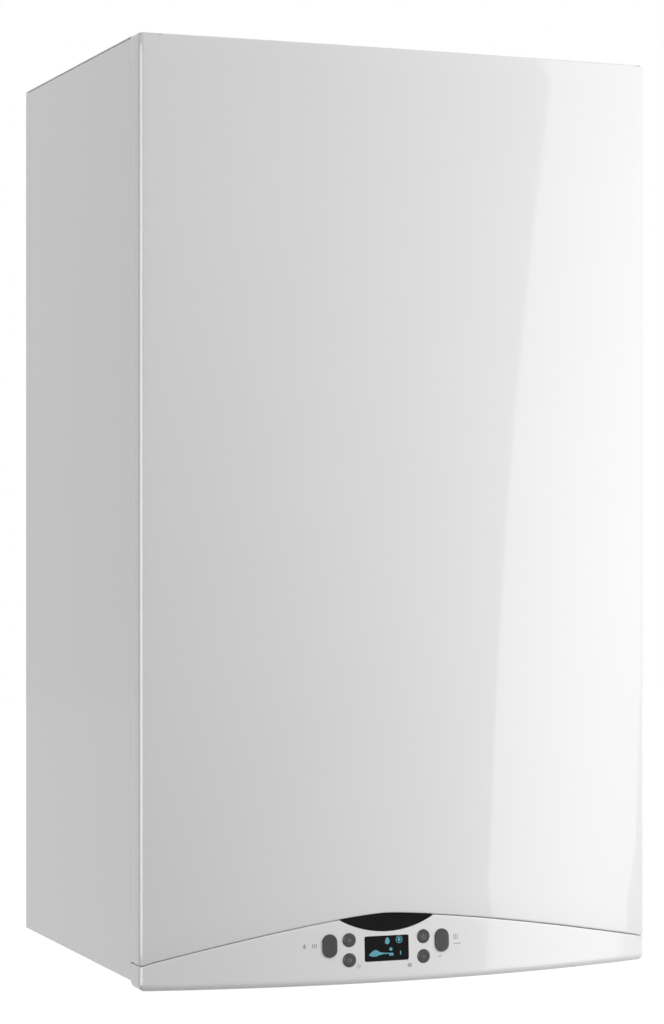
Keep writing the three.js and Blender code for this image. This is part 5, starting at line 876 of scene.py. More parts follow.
def flue_collar():
    z0, z1, top = 745.3, 747.3, 763.0
    plate = add_bevel(prism(rounded_plan(0, -FLUE_Y, 156, 124, 14, 10), z0, z1), 0.5, 3, 60)
    plate = carve(plate, [rod(46, z0 - 1, z1 + 1, 0, -FLUE_Y, edge=0)]
        + [rod(5.3, z0 - 1, z1 + 1, x, -FLUE_Y, edge=0) for x in (-64, 64)])
    outer = turned([(46, 731.4), (47.6, 731), (48, 731.6), (48, z0), (50, z0), (50, z1 + 0.1), (52, z1),
        (50.6, z1 + 0.5), (50, z1 + 2), (50, top - 0.6), (49.4, top), (46.6, top), (46, top - 0.6), (46, 731.4)],
        (0, -FLUE_Y, 0), "z", 96)
    grip = ring(32.3, 30.3, z0, 755.3, 0, -FLUE_Y, edge=0.4, sides=80)
    bosses = [ring(8, 5.3, z0 + 0.2, 753.3, x, -FLUE_Y, edge=0.5) for x in (-64, 64)]
    webs = []
    for i in range(3):
        angle = radians(120 * i + 90)
        along, across = Vector((cos(angle), sin(angle))), Vector((-sin(angle), cos(angle)))
        corners = [along * r + across * s for r, s in ((31.6, -1), (46.4, -1), (46.4, 1), (31.6, 1))]
        webs.append(soft_prism([(c.x, c.y - FLUE_Y) for c in corners], z0 + 0.1, 755.2, bevel=0.3, segments=2))
    return join("collar", [plate, outer, grip, *bosses, *webs])


stand_for("flue_collar", flue_collar())
stand_for("flue_pipe", ring(30, 28.5, 612, 761, 0, -FLUE_Y, edge=0.5, sides=96))
collar_screws = [screw_head(x, y - FLUE_Y, 747.25) for x in (-66, 66) for y in (-50, 50)]
extra_piece("collar_screws", join("screws", collar_screws), "case", STEEL)

for cap_node, cap_x in (("flue_test_cap", -64), ("air_test_cap", 64)):
    cap_profile = [(0, -8), (3.6, -8), (4.1, -7.6), (5, -6), (5, -4.6), (4.7, -4.3), (4.7, -3.6), (5, -3.3), (5, 0),
        (8.2, 0), (8.5, 0.3)]
    cap_profile += [(8.5, 3.2), (8.2, 4.3), (7.2, 4.9), (6, 5), (5.2, 4.6), (0, 4.5)]
    stand_for(cap_node, turned(cap_profile, (cap_x, -FLUE_Y, 753.6), "z", 64))

# ---- Control unit, behind the fascia ----


def main_board():
    z0, z1 = 15.8, 17.4
    left, front, back = -160.0, -294.0, -215.0
    plate = block(left, 160, front, back, z0, z1, 0.2)
    y = front + 8
    transformer = [block(left + 8, left + 50, y, y + 36, z1 - 0.3, z1 + 20, 0.8),
        block(left + 15, left + 43, y + 1, y + 35, z1, z1 + 26, 0.5)]
    relay_x = left + 66
    relays = [block(relay_x + 24 * i, relay_x + 24 * i + 16, y, y + 22, z1 - 0.3, z1 + 15, 0.7)
        for i in range(5)]
    cap_x = relay_x + 136
    capacitors = [rod(6, z1 - 0.3, z1 + 22, cap_x + 20 * i, y + 11, edge=1) for i in range(3)]
    plugs = [block(left + 50 + 25 * i, left + 67 + 25 * i, back - 15, back - 4, z1 - 0.3, z1 + 9, 0.5)
        for i in range(9)]
    dark = join("dark", transformer + capacitors)
    stand_for("main_circuit_board", plate, (dark, DARK), (join("relays", relays), BLUE),
        (join("plugs", plugs), CERAMIC))


main_board()

for pin_node, side in (("hinge_pin_left", -1), ("hinge_pin_right", 1)):
    start, length = 190.0, 13.8
    pin_profile = [(0, 0), (2.4, 0), (3, 0.6), (3, length), (5.5, length), (5.5, length + 1.6), (5.2, length + 2.2),
        (4.6, length + 2.5), (0, length + 2.5)]
    pin_profile = [(r, side * (start + h)) for r, h in pin_profile]
    stand_for(pin_node, turned(pin_profile, (0, -194, 16), "x", 48))

lid_screws = [screw_head(x, y, 60.25) for x in (-190, 190) for y in (-301, -208)]
extra_piece("lid_screws", join("screws", lid_screws), "control_unit", STEEL)

# ---- Hydraulic group ----

BARREL_Z, BARREL_TOP_Z = 31.8, 111.8
PORT_ZS = (53.8, 93.8)
OUTER_X = 130.0


def stub(x, radius, top):
    """A threaded stub with its bore open below."""
    profile = [(0, 17), (7.1, 17), (7.5, 16), (7.5, -14.2), (8.3, -15), (radius - 1.4, -15), (radius - 0.9, -14.4)]
    z = -14.0
    while z < 12:
        profile += [(radius - 0.95, z), (radius, z + 0.75), (radius, z + 1.0), (radius - 0.95, z + 1.75)]
        z += 1.814
    profile += [(radius - 1.0, z + 0.6), (radius - 1.0, z + 2.2), (radius, z + 3), (radius, top), (0, top)]
    return turned(profile, (x, -PIPE_Y, 0), "z", 64)


def barrel(x):
    profile = [(0, BARREL_Z), (19, BARREL_Z), (20, 32.8), (20, 38), (18.8, 39.2), (18.8, 62), (19.6, 64), (19.6, 80),
        (18.8, 82), (18.8, 98)]
    profile += [(20, 99.4), (20, 102.6), (18.8, 103.8), (16, 104), (16, 110.8), (15, BARREL_TOP_Z), (0, BARREL_TOP_Z)]
    return turned(profile, (x, -PIPE_Y, 0), "z", 64)


def manifold(side, *more):
    outer, inner = side * OUTER_X, side * PIPE_PITCH
    left, right = min(outer, inner), max(outer, inner)
    parts = [barrel(outer), barrel(inner), stub(outer, 13.2, 33), stub(inner, 10.5, 33)]
    for z in PORT_ZS:
        parts.append(rod(12.4, left, right, -PIPE_Y, z, "x"))
        parts.append(rod(10, -129.7, -PIPE_Y, side * 80, z, "y", sides=40))
        parts.append(rod(14.5, -128.2, -124.2, side * 80, z, "y", 0.8))
        parts.append(ring(14.6, 11, left + 21.5, left + 25.5, -PIPE_Y, z, "x", 0.8))
    parts.append(nut(30, 34.5, 44, outer, -PIPE_Y))
    return join("manifold", [*parts, *more])


def notched(radius, length, place, axis, outwards, stem=None):
    """A hand knob with eight grip notches and a recessed face."""
    profile = [(0, 0), (radius - 1.5, 0), (radius - 0.4, 0.4), (radius, 1.5), (radius, length - 2),
        (radius - 0.6, length - 0.6)]
    profile += [(radius - 2, length), (radius - 4, length), (radius - 4.8, length - 0.8), (0, length - 0.8)]
    knob = turned([(r, outwards * h) for r, h in profile], place, axis, 96)
    cutters = []
    spread = {"z": (place[0], place[1], place[2]), "x": (place[1], place[2], place[0])}[axis]
    for i in range(8):
        t = pi / 4 * i
        a, b = spread[0] + radius * 1.1 * cos(t), spread[1] + radius * 1.1 * sin(t)
        low, high = sorted((spread[2] + outwards * 3, spread[2] + outwards * (length + 1)))
        cutters.append(rod(radius * 0.2, low, high, a, b, axis, 0.6, 24))
    knob = carve(knob, cutters)
    return join("knob", [knob, stem]) if stem else knob


flow_parts = [nut(26, 104.5, 110, -PIPE_PITCH, -PIPE_Y)]
stand_for("flow_block", manifold(-1, *flow_parts))
return_parts = [
    rod(10, 130, 168, -PIPE_Y, 71.8, "x", 0.6), nut(24, 152, 161, -PIPE_Y, 71.8, "x"),
    rod(10, 41, 65, -PIPE_Y, 71.8, "x", 0.6), rod(8, 35.8, 53.8, 97.5, -PIPE_Y),
]
stand_for("return_block", manifold(1, *return_parts))
stand_for("safety_valve_knob", notched(14, 18, (168.3, -PIPE_Y, 71.8), "x", 1))
tap_stem = rod(6, 25.7, 35.5, 97.5, -PIPE_Y, sides=32)
stand_for("filling_tap_knob", notched(11, 16, (97.5, -PIPE_Y, 26.7), "z", -1, tap_stem))


def plate_exchanger():
    z0, z1 = 31.8, 115.8
    mid, height, back = (z0 + z1) / 2, z1 - z0, -132.0
    parts = [soft_prism(rounded_plan(0, mid, 184, height - 6, 10, 8), back - 49, back - 1, "y", 0.4, 1)]
    pitch = 50 / 12
    for i in range(12):
        y = back - (i + 1) * pitch
        plan = rounded_plan(0, mid, 190, height, 12, 10)
        parts.append(soft_prism(plan, y + 0.9, y + pitch - 0.9, "y", 0.7, 2, 60))
    for side in (-1, 1):
        for z in PORT_ZS:
            parts.append(rod(12, back - 2, -130, side * 80, z, "y"))
            parts.append(ring(13, 9, -182.1, -181, side * 80, z, "y", 0.5))
    return join("plates", parts)


stand_for("plate_heat_exchanger", plate_exchanger())


def pump():
    y0, y1, y2 = -65.0, -105.0, -183.0
    z, x = 169.8, OUTER_X
    volute_profile = [(0, y0), (36, y0), (42, y0 - 2.5), (45, y0 - 6), (46, y0 - 10), (46, y1 + 10), (45, y1 + 4),
        (42, y1 + 1), (38, y1), (0, y1)]
    volute = [turned(volute_profile, (x, 0, z), "y", 96)]
    volute += [rod(14, 112.1, z, x, -PIPE_Y), rod(14, z, 221.8, x, -PIPE_Y),
        ring(17.5, 12, 113, 120, x, -PIPE_Y, edge=1), ring(17.5, 12, 214, 221, x, -PIPE_Y, edge=1)]
    for i in range(4):
        t = pi / 4 + pi / 2 * i
        volute.append(rod(5, y1 - 3, y1 + 12, x + 38 * cos(t), z + 38 * sin(t), "y", 0.8, 24))
    can_profile = [(0, y1 + 1), (40, y1 + 1), (40, y1 - 4)]
    y = y1 - 8.0
    while y > y2 + 22:
        can_profile += [(40, y), (38.2, y - 1), (38.2, y - 3), (40, y - 4)]
        y -= 8
    can_profile += [(40, y2 + 12), (39, y2 + 6), (36, y2 + 2), (32, y2 + 0.4), (22, y2), (21.4, y2 + 1.2),
        (9, y2 + 1.2), (8.4, y2), (0, y2)]
    can = turned(can_profile, (x, 0, z), "y", 96)
    terminal = block(x - 22, x + 22, y2 + 10, y2 + 50, z + 24, z + 49, 2.5, 4)
    seam = block(x - 22.3, x + 22.3, y2 + 9.7, y2 + 50.3, z + 40, z + 41, 0.3)
    stand_for("circulation_pump", join("pump", [can, terminal, seam]), (join("volute", volute), CAST))


pump()

vent_z = BARREL_TOP_Z + 0.3
vent_profile = [(0, vent_z), (9, vent_z), (9, vent_z + 8), (12, vent_z + 10.4), (13, vent_z + 12.4),
    (13, vent_z + 30), (12.4, vent_z + 31), (12.4, vent_z + 32), (13, vent_z + 33)]
vent_profile += [(13, vent_z + 46), (11.6, vent_z + 50), (7, vent_z + 52.4), (7, vent_z + 53), (5.2, vent_z + 53.6),
    (5.2, vent_z + 57.4), (4.6, vent_z + 58), (0, vent_z + 58)]
vent_body = turned(vent_profile, (PIPE_PITCH, -PIPE_Y, 0), "z", 64)
stand_for("automatic_air_vent", join("vent", [vent_body, nut(20, vent_z + 1, vent_z + 7.5, PIPE_PITCH, -PIPE_Y)]))


def diverter():
    z = BARREL_TOP_Z + 0.3
    body = soft_prism(rounded_plan(-OUTER_X, -PIPE_Y, 46, 46, 9, 8), z + 10, z + 53, bevel=1.6, segments=4, angle=60)
    crown = soft_prism(rounded_plan(-OUTER_X, -PIPE_Y, 38, 38, 6, 8), z + 48, z + 58, bevel=2, segments=4, angle=60)
    seam = soft_prism(rounded_plan(-OUTER_X, -PIPE_Y, 46.6, 46.6, 9.2, 8), z + 30, z + 31.2, bevel=0.3, segments=2,
        angle=60)
    neck = join("neck", [rod(11, z, z + 12, -OUTER_X, -PIPE_Y), nut(26, z + 1.5, z + 9, -OUTER_X, -PIPE_Y)])
    plug = block(-OUTER_X - 9, -OUTER_X + 9, -PIPE_Y - 31, -PIPE_Y, z + 29, z + 43, 1.0)
    stand_for("diverter_motor", join("diverter", [body, crown, seam]), (neck, BRASS), (plug, DARK))


diverter()


def vessel():
    """Two half ellipses of revolution with flattened faces, and a folded seam."""
    profile = []
    for i in range(25):
        t = pi / 2 * i / 24
        profile.append((180 * sin(t) ** 0.55 if i else 0.0, -(2 + 38 * cos(t) ** 0.8)))
    back = profile[::-1]
    seam = [(182.2, -2), (183, -1.2), (183, 1.2), (182.2, 2)]
    whole = profile + seam + [(r, -h) for r, h in back]
    body = turned(whole, (0, -53.5, 490), "y", 128)
    port = join("port", [rod(9, 302, 332, 28, -53.5), nut(24, 304, 312, 28, -53.5)])
    stand_for("expansion_vessel", body, (port, BRASS))


vessel()


def copper_pipe(node, corners, radius, bend, ends):
    fittings = [nut(2 * radius + 9, low, high, a, b, axis) for low, high, a, b, axis in ends]
    stand_for(node, tube(corners, radius, bend, 40), (join("nuts", fittings), BRASS))


copper_pipe("flow_pipe", [(-135.3, -165.6, 510), (-168, -165.6, 510), (-168, -165.6, 256.8), (-65, -85, 256.8),
    (-65, -85, 112.1)], 9, 22, [(-146, -137, -165.6, 510, "x"), (113, 124, -65, -85, "z")])
copper_pipe("return_pipe", [(130, -85, 222.1), (130, -85, 256.8), (168, -165.6, 268.8), (168, -165.6, 470),
    (135.3, -165.6, 470)], 9, 22, [(137, 146, -165.6, 470, "x"), (223, 233, 130, -85, "z")])
copper_pipe("vessel_pipe", [(28, -53.5, 301.7), (28, -53.5, 232), (28, -85, 111.8), (28, -85, 71.8),
    (40.7, -85, 71.8)], 6, 11, [(290, 300, 28, -53.5, "z"), (33, 40, -85, 71.8, "x")])
stand_for("gas_feed_pipe", rod(8, 48.3, 83.7, -309, 290, "x", sides=48),
    (join("nuts", [nut(24, 49.5, 58, -309, 290, "x"), nut(24, 74, 82.5, -309, 290, "x")]), BRASS))
gas_run = tube([(0, -85, 33), (0, -85, 150), (0, -292, 150), (120, -292, 150), (120, -292, 236.7)], 8, 22, 40)
gas_fit = join("fittings", [stub(0, 13.2, 33), nut(34, 31.8, 45.8, 0, -85), nut(25, 226, 236, 120, -292)])
stand_for("gas_pipe", gas_run, (gas_fit, BRASS))

# ---- Exchanger, burner, fan, air and gas ----

EXCHANGER_Z = 490.0
FAN_Z = 290.0
SHELL_FRONT_Y, SHELL_BACK_Y, SHELL_MID_Y = -230.9, -100.3, -165.6
DOOR_FRONT_Y, DOOR_BACK_Y = -239.2, -231.2
FAN_FRONT_Y, FAN_BACK_Y = -295.7, -239.7
BURNER_FRONT_Y = -322.0


def exchanger_shell():
    front, back, outer, inner = SHELL_FRONT_Y, SHELL_BACK_Y, 118.0, 113.0
    profile = [(0, back), (106, back)]
    profile += [(108 + 10 * sin(t), back - 10 + 10 * cos(t)) for t in (pi / 12 * i for i in range(7))]
    for share in (2, 1):
        y = front + (back - front) / 3 * share
        profile += [(outer + 3 * cos(t) ** 2, y - 5 * t / (pi / 2)) for t in (pi / 16 * i for i in range(-8, 9))]
    profile += [(outer, front + 7), (outer + 1, front + 6), (outer + 5.4, front + 6), (outer + 6, front + 5.4),
        (outer + 6, front + 0.6), (outer + 5.4, front), (inner, front), (inner, back - 5), (0, back - 5)]
    drum = turned(profile, (0, 0, EXCHANGER_Z), "y", 128)
    socket = ring(35, 30.3, 598, 624, 0, -FLUE_Y, edge=0.8, sides=80)
    root = turned([(0, 594), (41, 601), (37, 606), (35, 612), (0, 612)], (0, -FLUE_Y, 0), "z", 80)
    parts = [drum, socket, root]
    for side, z in ((-1, 510), (1, 470)):
        low, high = sorted((side * 115, side * 135))
        parts.append(rod(12, low, high, SHELL_MID_Y, z, "x", 0.6))
    parts.append(rod(12, 375, 396, -60, -190))
    return join("shell", parts)


stand_for("exchanger_shell", exchanger_shell())

coil_points = []
for i in range(4 * 48 + 1):
    t = i / (4 * 48)
    coil_angle = 8 * pi * t
    coil_points.append(Vector((94 * cos(coil_angle), SHELL_MID_Y + 88 * (t - 0.5), EXCHANGER_Z
        + 94 * sin(coil_angle))))
stand_for("exchanger_coil", tube_along(coil_points, 8.8, 24))


def burner_door():
    rim, dome_y = 124.0, FAN_FRONT_Y + 4
    profile = [(0, DOOR_BACK_Y), (rim - 0.8, DOOR_BACK_Y), (rim, DOOR_BACK_Y - 0.8), (rim, DOOR_FRONT_Y + 2),
        (rim - 0.6, DOOR_FRONT_Y + 0.6), (rim - 2, DOOR_FRONT_Y)]
    profile += [(100, DOOR_FRONT_Y), (99, DOOR_FRONT_Y + 1), (92, DOOR_FRONT_Y + 1), (91, DOOR_FRONT_Y),
        (66, DOOR_FRONT_Y)]
    profile += [(62 + 4 * (1 - sin(t)), DOOR_FRONT_Y - 4 * (1 - cos(t))) for t in (pi / 10 * i for i in range(1, 6))]
    for i in range(13):
        t = pi / 2 * i / 12
        profile.append((47 + 13 * cos(t), dome_y + 13 - 13 * sin(t)))
    profile.append((0, dome_y))
    parts = [turned(profile, (0, 0, EXCHANGER_Z), "y", 128)]
    parts.append(soft_prism(rounded_plan(-56, (FAN_FRONT_Y + FAN_BACK_Y) / 2, 40, 56, 6, 8), 375.3, 464, bevel=2.5,
        segments=4, angle=60))
    parts.append(soft_prism(rounded_plan(-56, (FAN_FRONT_Y + FAN_BACK_Y) / 2, 40, 56, 6, 8), 375.3, 381, bevel=0.6,
        segments=2, angle=60))
    parts.append(block(-70, -42, -244, DOOR_BACK_Y, 383, EXCHANGER_Z, 1.5))
    for i in range(12):
        t = pi / 6 * i
        if abs(math.degrees(t) - 240) < 20:
            continue
        along = Vector((cos(t), sin(t)))
        across = Vector((-sin(t), cos(t)))
        corners = [along * r + across * s for r, s in ((58, -1.5), (90, -1.5), (90, 1.5), (58, 1.5))]
        parts.append(soft_prism([(c.x, c.y + EXCHANGER_Z) for c in corners], DOOR_FRONT_Y - 6, DOOR_FRONT_Y + 1, "y",
            1.0, 2))
    door = join("door", parts)
    nuts = []
    for i in range(6):
        t = pi / 3 * (i + 0.5)
        x, z = 115 * cos(t), EXCHANGER_Z + 115 * sin(t)
        nuts += [nut(10, DOOR_FRONT_Y - 5, DOOR_FRONT_Y - 0.8, x, z, "y"),
            rod(7.5, DOOR_FRONT_Y - 1, DOOR_FRONT_Y + 0.2, x, z, "y"),
            rod(2.6, DOOR_FRONT_Y - 7, DOOR_FRONT_Y, x, z, "y", sides=24)]
    stand_for("burner_door", door, (join("nuts", nuts), STEEL))


burner_door()


def burner_tube():
    y0, y1 = -230.9, -138.9
    profile = [(0, y0), (43, y0), (43, y0 + 3), (35.6, y0 + 3), (35, y0 + 3.6), (35, y1 - 4), (33.6, y1 - 1),
        (31, y1), (0, y1)]
    return turned(profile, (0, 0, EXCHANGER_Z), "y", 96)


stand_for("burner_tube", burner_tube())

electrode_profile = [(0, -261.2), (2.6, -261.2), (3, -260.8), (3, -251.2), (6.6, -251.2), (7.4, -250), (7.4, -247),
    (6.4, -246), (7.4, -245), (8, -243.6), (8, -239.5), (5, -239.5), (5, -217.2), (1.5, -215.2), (1.5, -185.6),
    (1, -185.2), (0, -185.2)]
stand_for("ignition_electrode", turned(electrode_profile, (56, 0, 442), "y", 48))


def fan_plan(inset):
    plan = []
    for i in range(121):
        share = i / 120
        radius = 58 + 18 * share - inset
        angle = pi / 2 - share * 1.75 * pi
        x, z = radius * cos(angle), FAN_Z + radius * sin(angle)
        if not (x < -36 and z > FAN_Z):
            plan.append((x, z))
    top = 375 + (1 if inset else 0)
    return plan + [(-76 + inset, FAN_Z), (-76 + inset, top), (-36 - inset, top)]


def fan_housing():
    body = soft_prism(fan_plan(0), FAN_FRONT_Y, FAN_BACK_Y, "y", 3.0, 4, 50)
    cutters = [prism(fan_plan(2.5), FAN_FRONT_Y + 2.5, FAN_BACK_Y - 2.5, "y"),
        rod(28, FAN_FRONT_Y - 1, FAN_FRONT_Y + 4, 0, FAN_Z, "y", 0),
        rod(52, FAN_BACK_Y - 4, FAN_BACK_Y + 1, 0, FAN_Z, "y", 0)]
    body = carve(body, cutters)
    rim = soft_prism(fan_plan(-0.0), -269.5, -266.5, "y", 0.5, 2, 50)
    rim = carve(rim, [prism(fan_plan(2.5), -271, -265, "y")])
    screws = []
    for degrees in (60, 0, -60, -120, -165):
        t = radians(degrees)
        share = (90 - degrees) / 315
        radius = 58 + 18 * share - 6
        screws.append(screw_head(radius * cos(t), FAN_FRONT_Y + 0.2, FAN_Z + radius * sin(t), "y", -1, 3))
    stand_for("fan_housing", join("fan", [body, rim]), (join("screws", screws), STEEL))


fan_housing()


def impeller():
    back = -248.2
    parts = [rod(50, back - 2, back, 0, FAN_Z, "y", 0.4, 96),
        ring(50, 27, back - 34, back - 32, 0, FAN_Z, "y", 0.3, 96)]
    parts.append(turned([(0, back), (12, back), (12, back - 6), (7, back - 10), (5, back - 16),
        (0, back - 16)], (0, 0, FAN_Z), "y", 48))
    parts.append(rod(4, back - 2, back + 30, 0, FAN_Z, "y", sides=32))
    for k in range(9):
        line = []
        for i in range(9):
            share = i / 8
            radius = 24 + 25 * share
            angle = -0.55 * share**1.2 + 2 * pi * k / 9
            line.append(Vector((radius * cos(angle), radius * sin(angle))))
        offset = [p + Vector((-p.y, p.x)).normalized() * 1.2 for p in line][::-1]
        parts.append(prism([(p.x, p.y + FAN_Z) for p in line + offset], back - 33, back - 1, "y"))
    return join("impeller", parts)


stand_for("fan_impeller", impeller())


def fan_motor():
    y0, y1, y2 = -239.4, -236.4, -194.4
    profile = [(4.3, y0), (59.4, y0), (60, y0 + 0.6), (60, y1 - 0.6), (59.4, y1), (44, y1), (40, y1 + 1.5)]
    y = y1 + 6.0
    while y < y2 - 14:
        profile += [(40, y), (38, y + 1), (38, y + 3), (40, y + 4)]
        y += 7
    profile += [(40, y2 - 8), (38.5, y2 - 4), (35, y2 - 1), (31, y2), (0, y2), (0, -217.9), (4.3, -217.9), (4.3, y0)]
    return turned(profile, (0, 0, FAN_Z), "y", 96)


stand_for("fan_motor", fan_motor())


def gas_mixer():
    y0, y1 = BURNER_FRONT_Y, BURNER_FRONT_Y + 26
    mid = (y0 + y1) / 2
    profile = [(0, y0 + 1), (14, y0 + 1), (15, y0), (31, y0), (34.5, y0 + 1), (37, y0 + 3), (38, y0 + 6),
        (38, y1 - 6), (37.2, y1 - 5), (37.2, y1 - 3), (38, y1 - 2), (38, y1), (25, y1), (20, mid), (23, y0 + 3),
        (0, y0 + 3)]
    chamber = turned(profile, (0, 0, FAN_Z), "y", 96)
    neck = block(-58, -30, y0 + 2, y1 - 2, FAN_Z - 22, FAN_Z + 22, 1.5, 3)
    neck = carve(neck, [block(-59, -29, y0 + 4, y1 - 4, FAN_Z - 20, FAN_Z + 20)])
    lip = block(-58, -54.5, y0 + 1, y1 - 1, FAN_Z - 23.4, FAN_Z + 23.4, 0.8)
    lip = carve(lip, [block(-59, -50, y0 + 4, y1 - 4, FAN_Z - 20, FAN_Z + 20)])
    gas = rod(10, 34, 48, mid, FAN_Z, "x", 0.6)
    screws = [screw_head(32 * cos(t), y0 + 2.2, FAN_Z + 32 * sin(t), "y", -1, 2.6)
        for t in (pi / 4, 3 * pi / 4 - 0.2, -pi / 4, -3 * pi / 4 + 0.2)]
    stand_for("gas_mixer", join("mixer", [chamber, neck, lip, gas]), (join("screws", screws), STEEL))


gas_mixer()


def silencer_plan(inset, extra):
    left, right, x1 = -200 + inset, -58.3 + extra, -150 - inset
    z0, z1, top = FAN_Z - 22 + inset, FAN_Z + 22 - inset, 440 + extra
    curve = 18 - inset
    plan = [(right, z0), (right, z1)]
    plan += [(x1 + 10 * (1 - sin(t)), z1 + 10 * (1 - cos(t))) for t in (pi / 20 * i for i in range(11))]
    plan += [(x1, top), (left, top)]
    plan += [(left + curve * (1 - cos(t)), z0 + curve * (1 - sin(t))) for t in (pi / 20 * i for i in range(11))]
    return plan


def air_silencer():
    y0, y1 = BURNER_FRONT_Y + 2, BURNER_FRONT_Y + 24
    body = soft_prism(silencer_plan(0, 0), y0, y1, "y", 2.5, 4, 55)
    body = carve(body, [prism(silencer_plan(2, 1), y0 + 2, y1 - 2, "y")])
    ribs = []
    for i in range(6):
        z = FAN_Z + 48 + 15 * i
        rib = block(-201.5, -148.5, y0 + 1.5, y1 - 1.5, z, z + 4, 1.2, 3)
        ribs.append(carve(rib, [block(-199, -151, y0 + 1, y1 - 1, z - 1, z + 5)]))
    return join("silencer", [body, *ribs])


stand_for("air_silencer", air_silencer())


def gas_valve():
    y0, y1, z0, z1 = BURNER_FRONT_Y, BURNER_FRONT_Y + 60, FAN_Z - 45, FAN_Z + 45
    x0, x1, mid = 90.0, 150.0, BURNER_FRONT_Y + 30
    parts = [soft_prism(rounded_plan(120, FAN_Z, 60, 90, 7, 8), y0 + 8, y1, "y", 2.2, 4, 60)]
    parts.append(turned([(0, y0 + 10), (17, y0 + 10), (17, y0 + 2), (15.8, y0 + 0.6), (14, y0), (10, y0),
        (9, y0 + 1.5), (4, y0 + 1.5), (3.4, y0 + 0.3), (0, y0 + 0.3)], (126, 0, 276), "y", 64))
    parts.append(rod(10, x0 - 6, x0 + 4, -309, FAN_Z, "x", 0.6))
    parts.append(nut(26, z0 - 8, z0 + 4, 120, mid))
    parts.append(block(x1 - 4, x1 + 9, mid - 3, mid + 3, FAN_Z - 12, FAN_Z + 12, 1))
    coils = []
    for side in (-1, 1):
        x = 120 + side * 13
        coils.append(block(x - 11, x + 11, mid - 16, mid + 16, z1 - 4, z1 + 20, 2, 3))
        coils.append(rod(4, z1 + 18, z1 + 22, x, mid, edge=0.8, sides=32))
    screws = [screw_head(x, y0 + 8.2, z, "y", -1, 2.8) for x,
        z in ((97, FAN_Z + 38), (143, FAN_Z + 38), (97, FAN_Z - 38), (143, FAN_Z - 38), (105, 276), (97, FAN_Z + 12))]
    stand_for("gas_valve", join("valve", parts), (join("coils", coils), DARK), (join("screws", screws), STEEL))


gas_valve()


def condensate_trap():
    profile = [(0, 150), (20.6, 150), (21.2, 150.6), (21.2, 165), (23.4, 165.3), (24, 166), (24, 170), (23.3, 170.7),
        (23.3, 200)]
    profile += [(24, 201), (24, 205), (23, 208.5), (20.6, 212), (18, 214.2), (14, 215), (0, 215)]
    parts = [turned(profile, (-60, -190, 0), "z", 80), rod(9, 213, 374.7, -60, -190, sides=48)]
    for z in (214, 360.7):
        parts.append(turned([(0, z), (10.4, z), (11.5, z + 1), (11.5, z + 4), (10.7, z + 5), (10.7, z + 9),
            (11.5, z + 10), (11.5, z + 13), (10.4, z + 14), (0, z + 14)], (-60, -190, 0), "z", 48))
    barb = [(0, -100), (4.6, -100), (6, -96.4), (5, -96.4), (6, -92.8), (5, -92.8), (6, -89.2), (5.2, -89.2),
        (5.2, -84), (6, -83.4), (6, -60), (0, -60)]
    parts.append(turned(barb, (0, -190, 190), "x", 40))
    return join("trap", parts)


stand_for("condensate_trap", condensate_trap())


def siphon_cup():
    profile = [(0, -30), (22.7, -30), (25.2, -29), (26.7, -26), (26.7, -2.2), (26.2, -0.6), (25.6, -0.3),
        (22.5, -0.3), (22, -0.8), (22, -26), (0, -26)]
    cup = turned(profile, (-60, -190, 165), "z", 96)
    ribs = []
    for i in range(6):
        t = pi / 3 * i
        along, across = Vector((cos(t), sin(t))), Vector((-sin(t), cos(t)))
        corners = [along * r + across * s for r, s in ((25.9, -1.5), (28.1, -1.5), (28.1, 1.5), (25.9, 1.5))]
        ribs.append(soft_prism([(c.x - 60, c.y - 190) for c in corners], 139, 162, bevel=0.7, segments=3))
    return join("cup", [cup, *ribs])


stand_for("siphon_cup", siphon_cup())

# ---- Camera, lamps, floor ----

scene = bpy.context.scene
camera = add_object("camera", bpy.data.cameras.new("camera"))
scene.camera = camera
camera.location = (-0.8785, -2.3986, 0.3658 - HANG_Z / 1000)
camera.rotation_euler = (pi / 2, 0, -0.377)
camera.data.sensor_fit = "VERTICAL"
camera.data.sensor_height = 36
camera.data.lens = 98.25
camera.data.shift_y = 0.0086
camera.data.clip_end = 50


def softbox(name, centre, target, width, height, radiance, roll=0.0):
    """A rectangular lamp that faces a point and shows in reflections."""
    data = bpy.data.lights.new(name, "AREA")
    data.shape = "RECTANGLE"
    data.size, data.size_y = width, height
    data.energy = radiance * pi * width * height
    lamp = add_object(name, data)
    lamp.location = centre
    lamp.rotation_euler = (Vector(target) - Vector(centre)).to_track_quat("-Z", "Y").to_euler()
    lamp.rotation_euler.rotate_axis("Z", roll)
    lamp.visible_camera = False
    return lamp


softbox("right_panel", (0.693, -0.966, -0.12), (-0.095, -0.35, -0.12), 0.42, 1.75, 3.1, 0.012)
rim = softbox("left_rim", (-1.63, -1.28, -0.32), (-0.22, -0.33, -0.32), 1.8, 1.6, 8.5)
rim.visible_diffuse = False


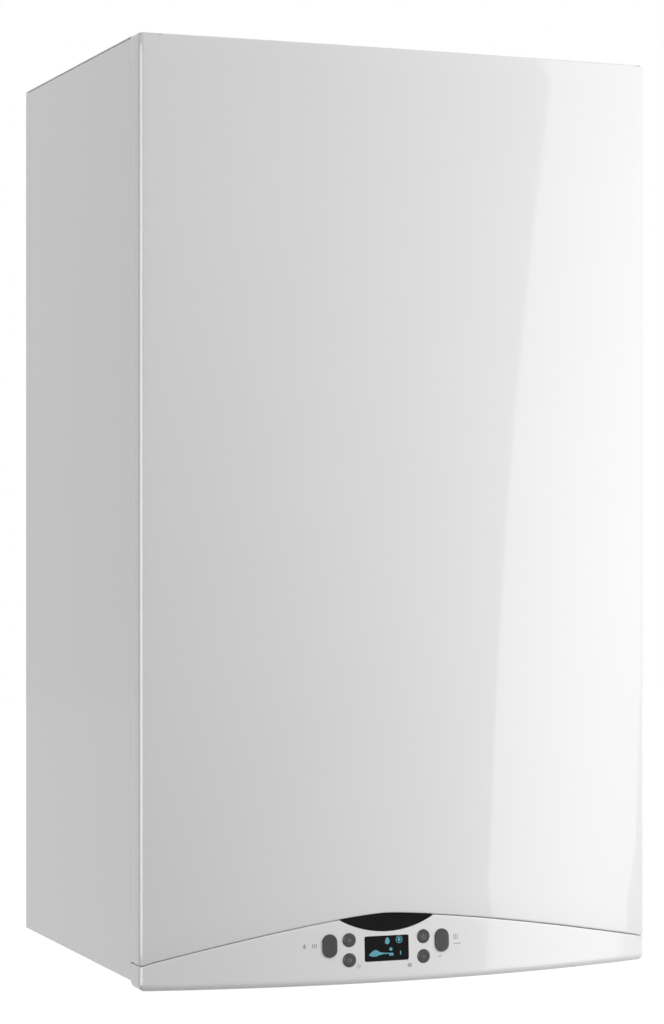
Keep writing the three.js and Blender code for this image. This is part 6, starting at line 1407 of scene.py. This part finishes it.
def rays_seen(tree):
    """1 for rays from the camera and for those that metal and glass send on, 0 for light on matt faces."""
    path = tree.nodes.new("ShaderNodeLightPath")
    value = path.outputs["Is Camera Ray"]
    for kind in ("Is Glossy Ray", "Is Transmission Ray"):
        larger = tree.nodes.new("ShaderNodeMath")
        larger.operation = "MAXIMUM"
        tree.links.new(value, larger.inputs[0])
        tree.links.new(path.outputs[kind], larger.inputs[1])
        value = larger.outputs[0]
    return value


world = bpy.data.worlds.new("studio")
scene.world = world
world.use_nodes = True
nodes, links = world.node_tree.nodes, world.node_tree.links
background = nodes["Background"]
background.inputs["Strength"].default_value = 1.0
seen = rays_seen(world.node_tree)
shade = nodes.new("ShaderNodeMix")
shade.data_type = "RGBA"
shade.inputs["A"].default_value = (0.635, 0.635, 0.638, 1)
shade.inputs["B"].default_value = (1, 1, 1, 1)
links.new(seen, shade.inputs["Factor"])
links.new(shade.outputs["Result"], background.inputs["Color"])

floor_mesh = bpy.data.meshes.new("floor")
floor_mesh.from_pydata([(-12, -12, -1.3), (12, -12, -1.3), (12, 12, -1.3), (-12, 12, -1.3)], [], [(0, 1, 2, 3)])
floor = bpy.data.objects.new("floor", floor_mesh)
scene.collection.objects.link(floor)
pale = bpy.data.materials.new("pale_floor")
pale.use_nodes = True
nodes, links = pale.node_tree.nodes, pale.node_tree.links
nodes.remove(nodes["Principled BSDF"])
matte = nodes.new("ShaderNodeBsdfDiffuse")
matte.inputs["Color"].default_value = (0.35, 0.35, 0.35, 1)
bright = nodes.new("ShaderNodeEmission")
scaled = nodes.new("ShaderNodeMath")
scaled.operation = "MULTIPLY"
scaled.inputs[1].default_value = 0.86
links.new(rays_seen(pale.node_tree), scaled.inputs[0])
links.new(scaled.outputs[0], bright.inputs["Strength"])
both = nodes.new("ShaderNodeAddShader")
links.new(matte.outputs[0], both.inputs[0])
links.new(bright.outputs[0], both.inputs[1])
links.new(both.outputs[0], nodes["Material Output"].inputs["Surface"])
floor_mesh.materials.append(pale)

scene.view_settings.view_transform = "Standard"
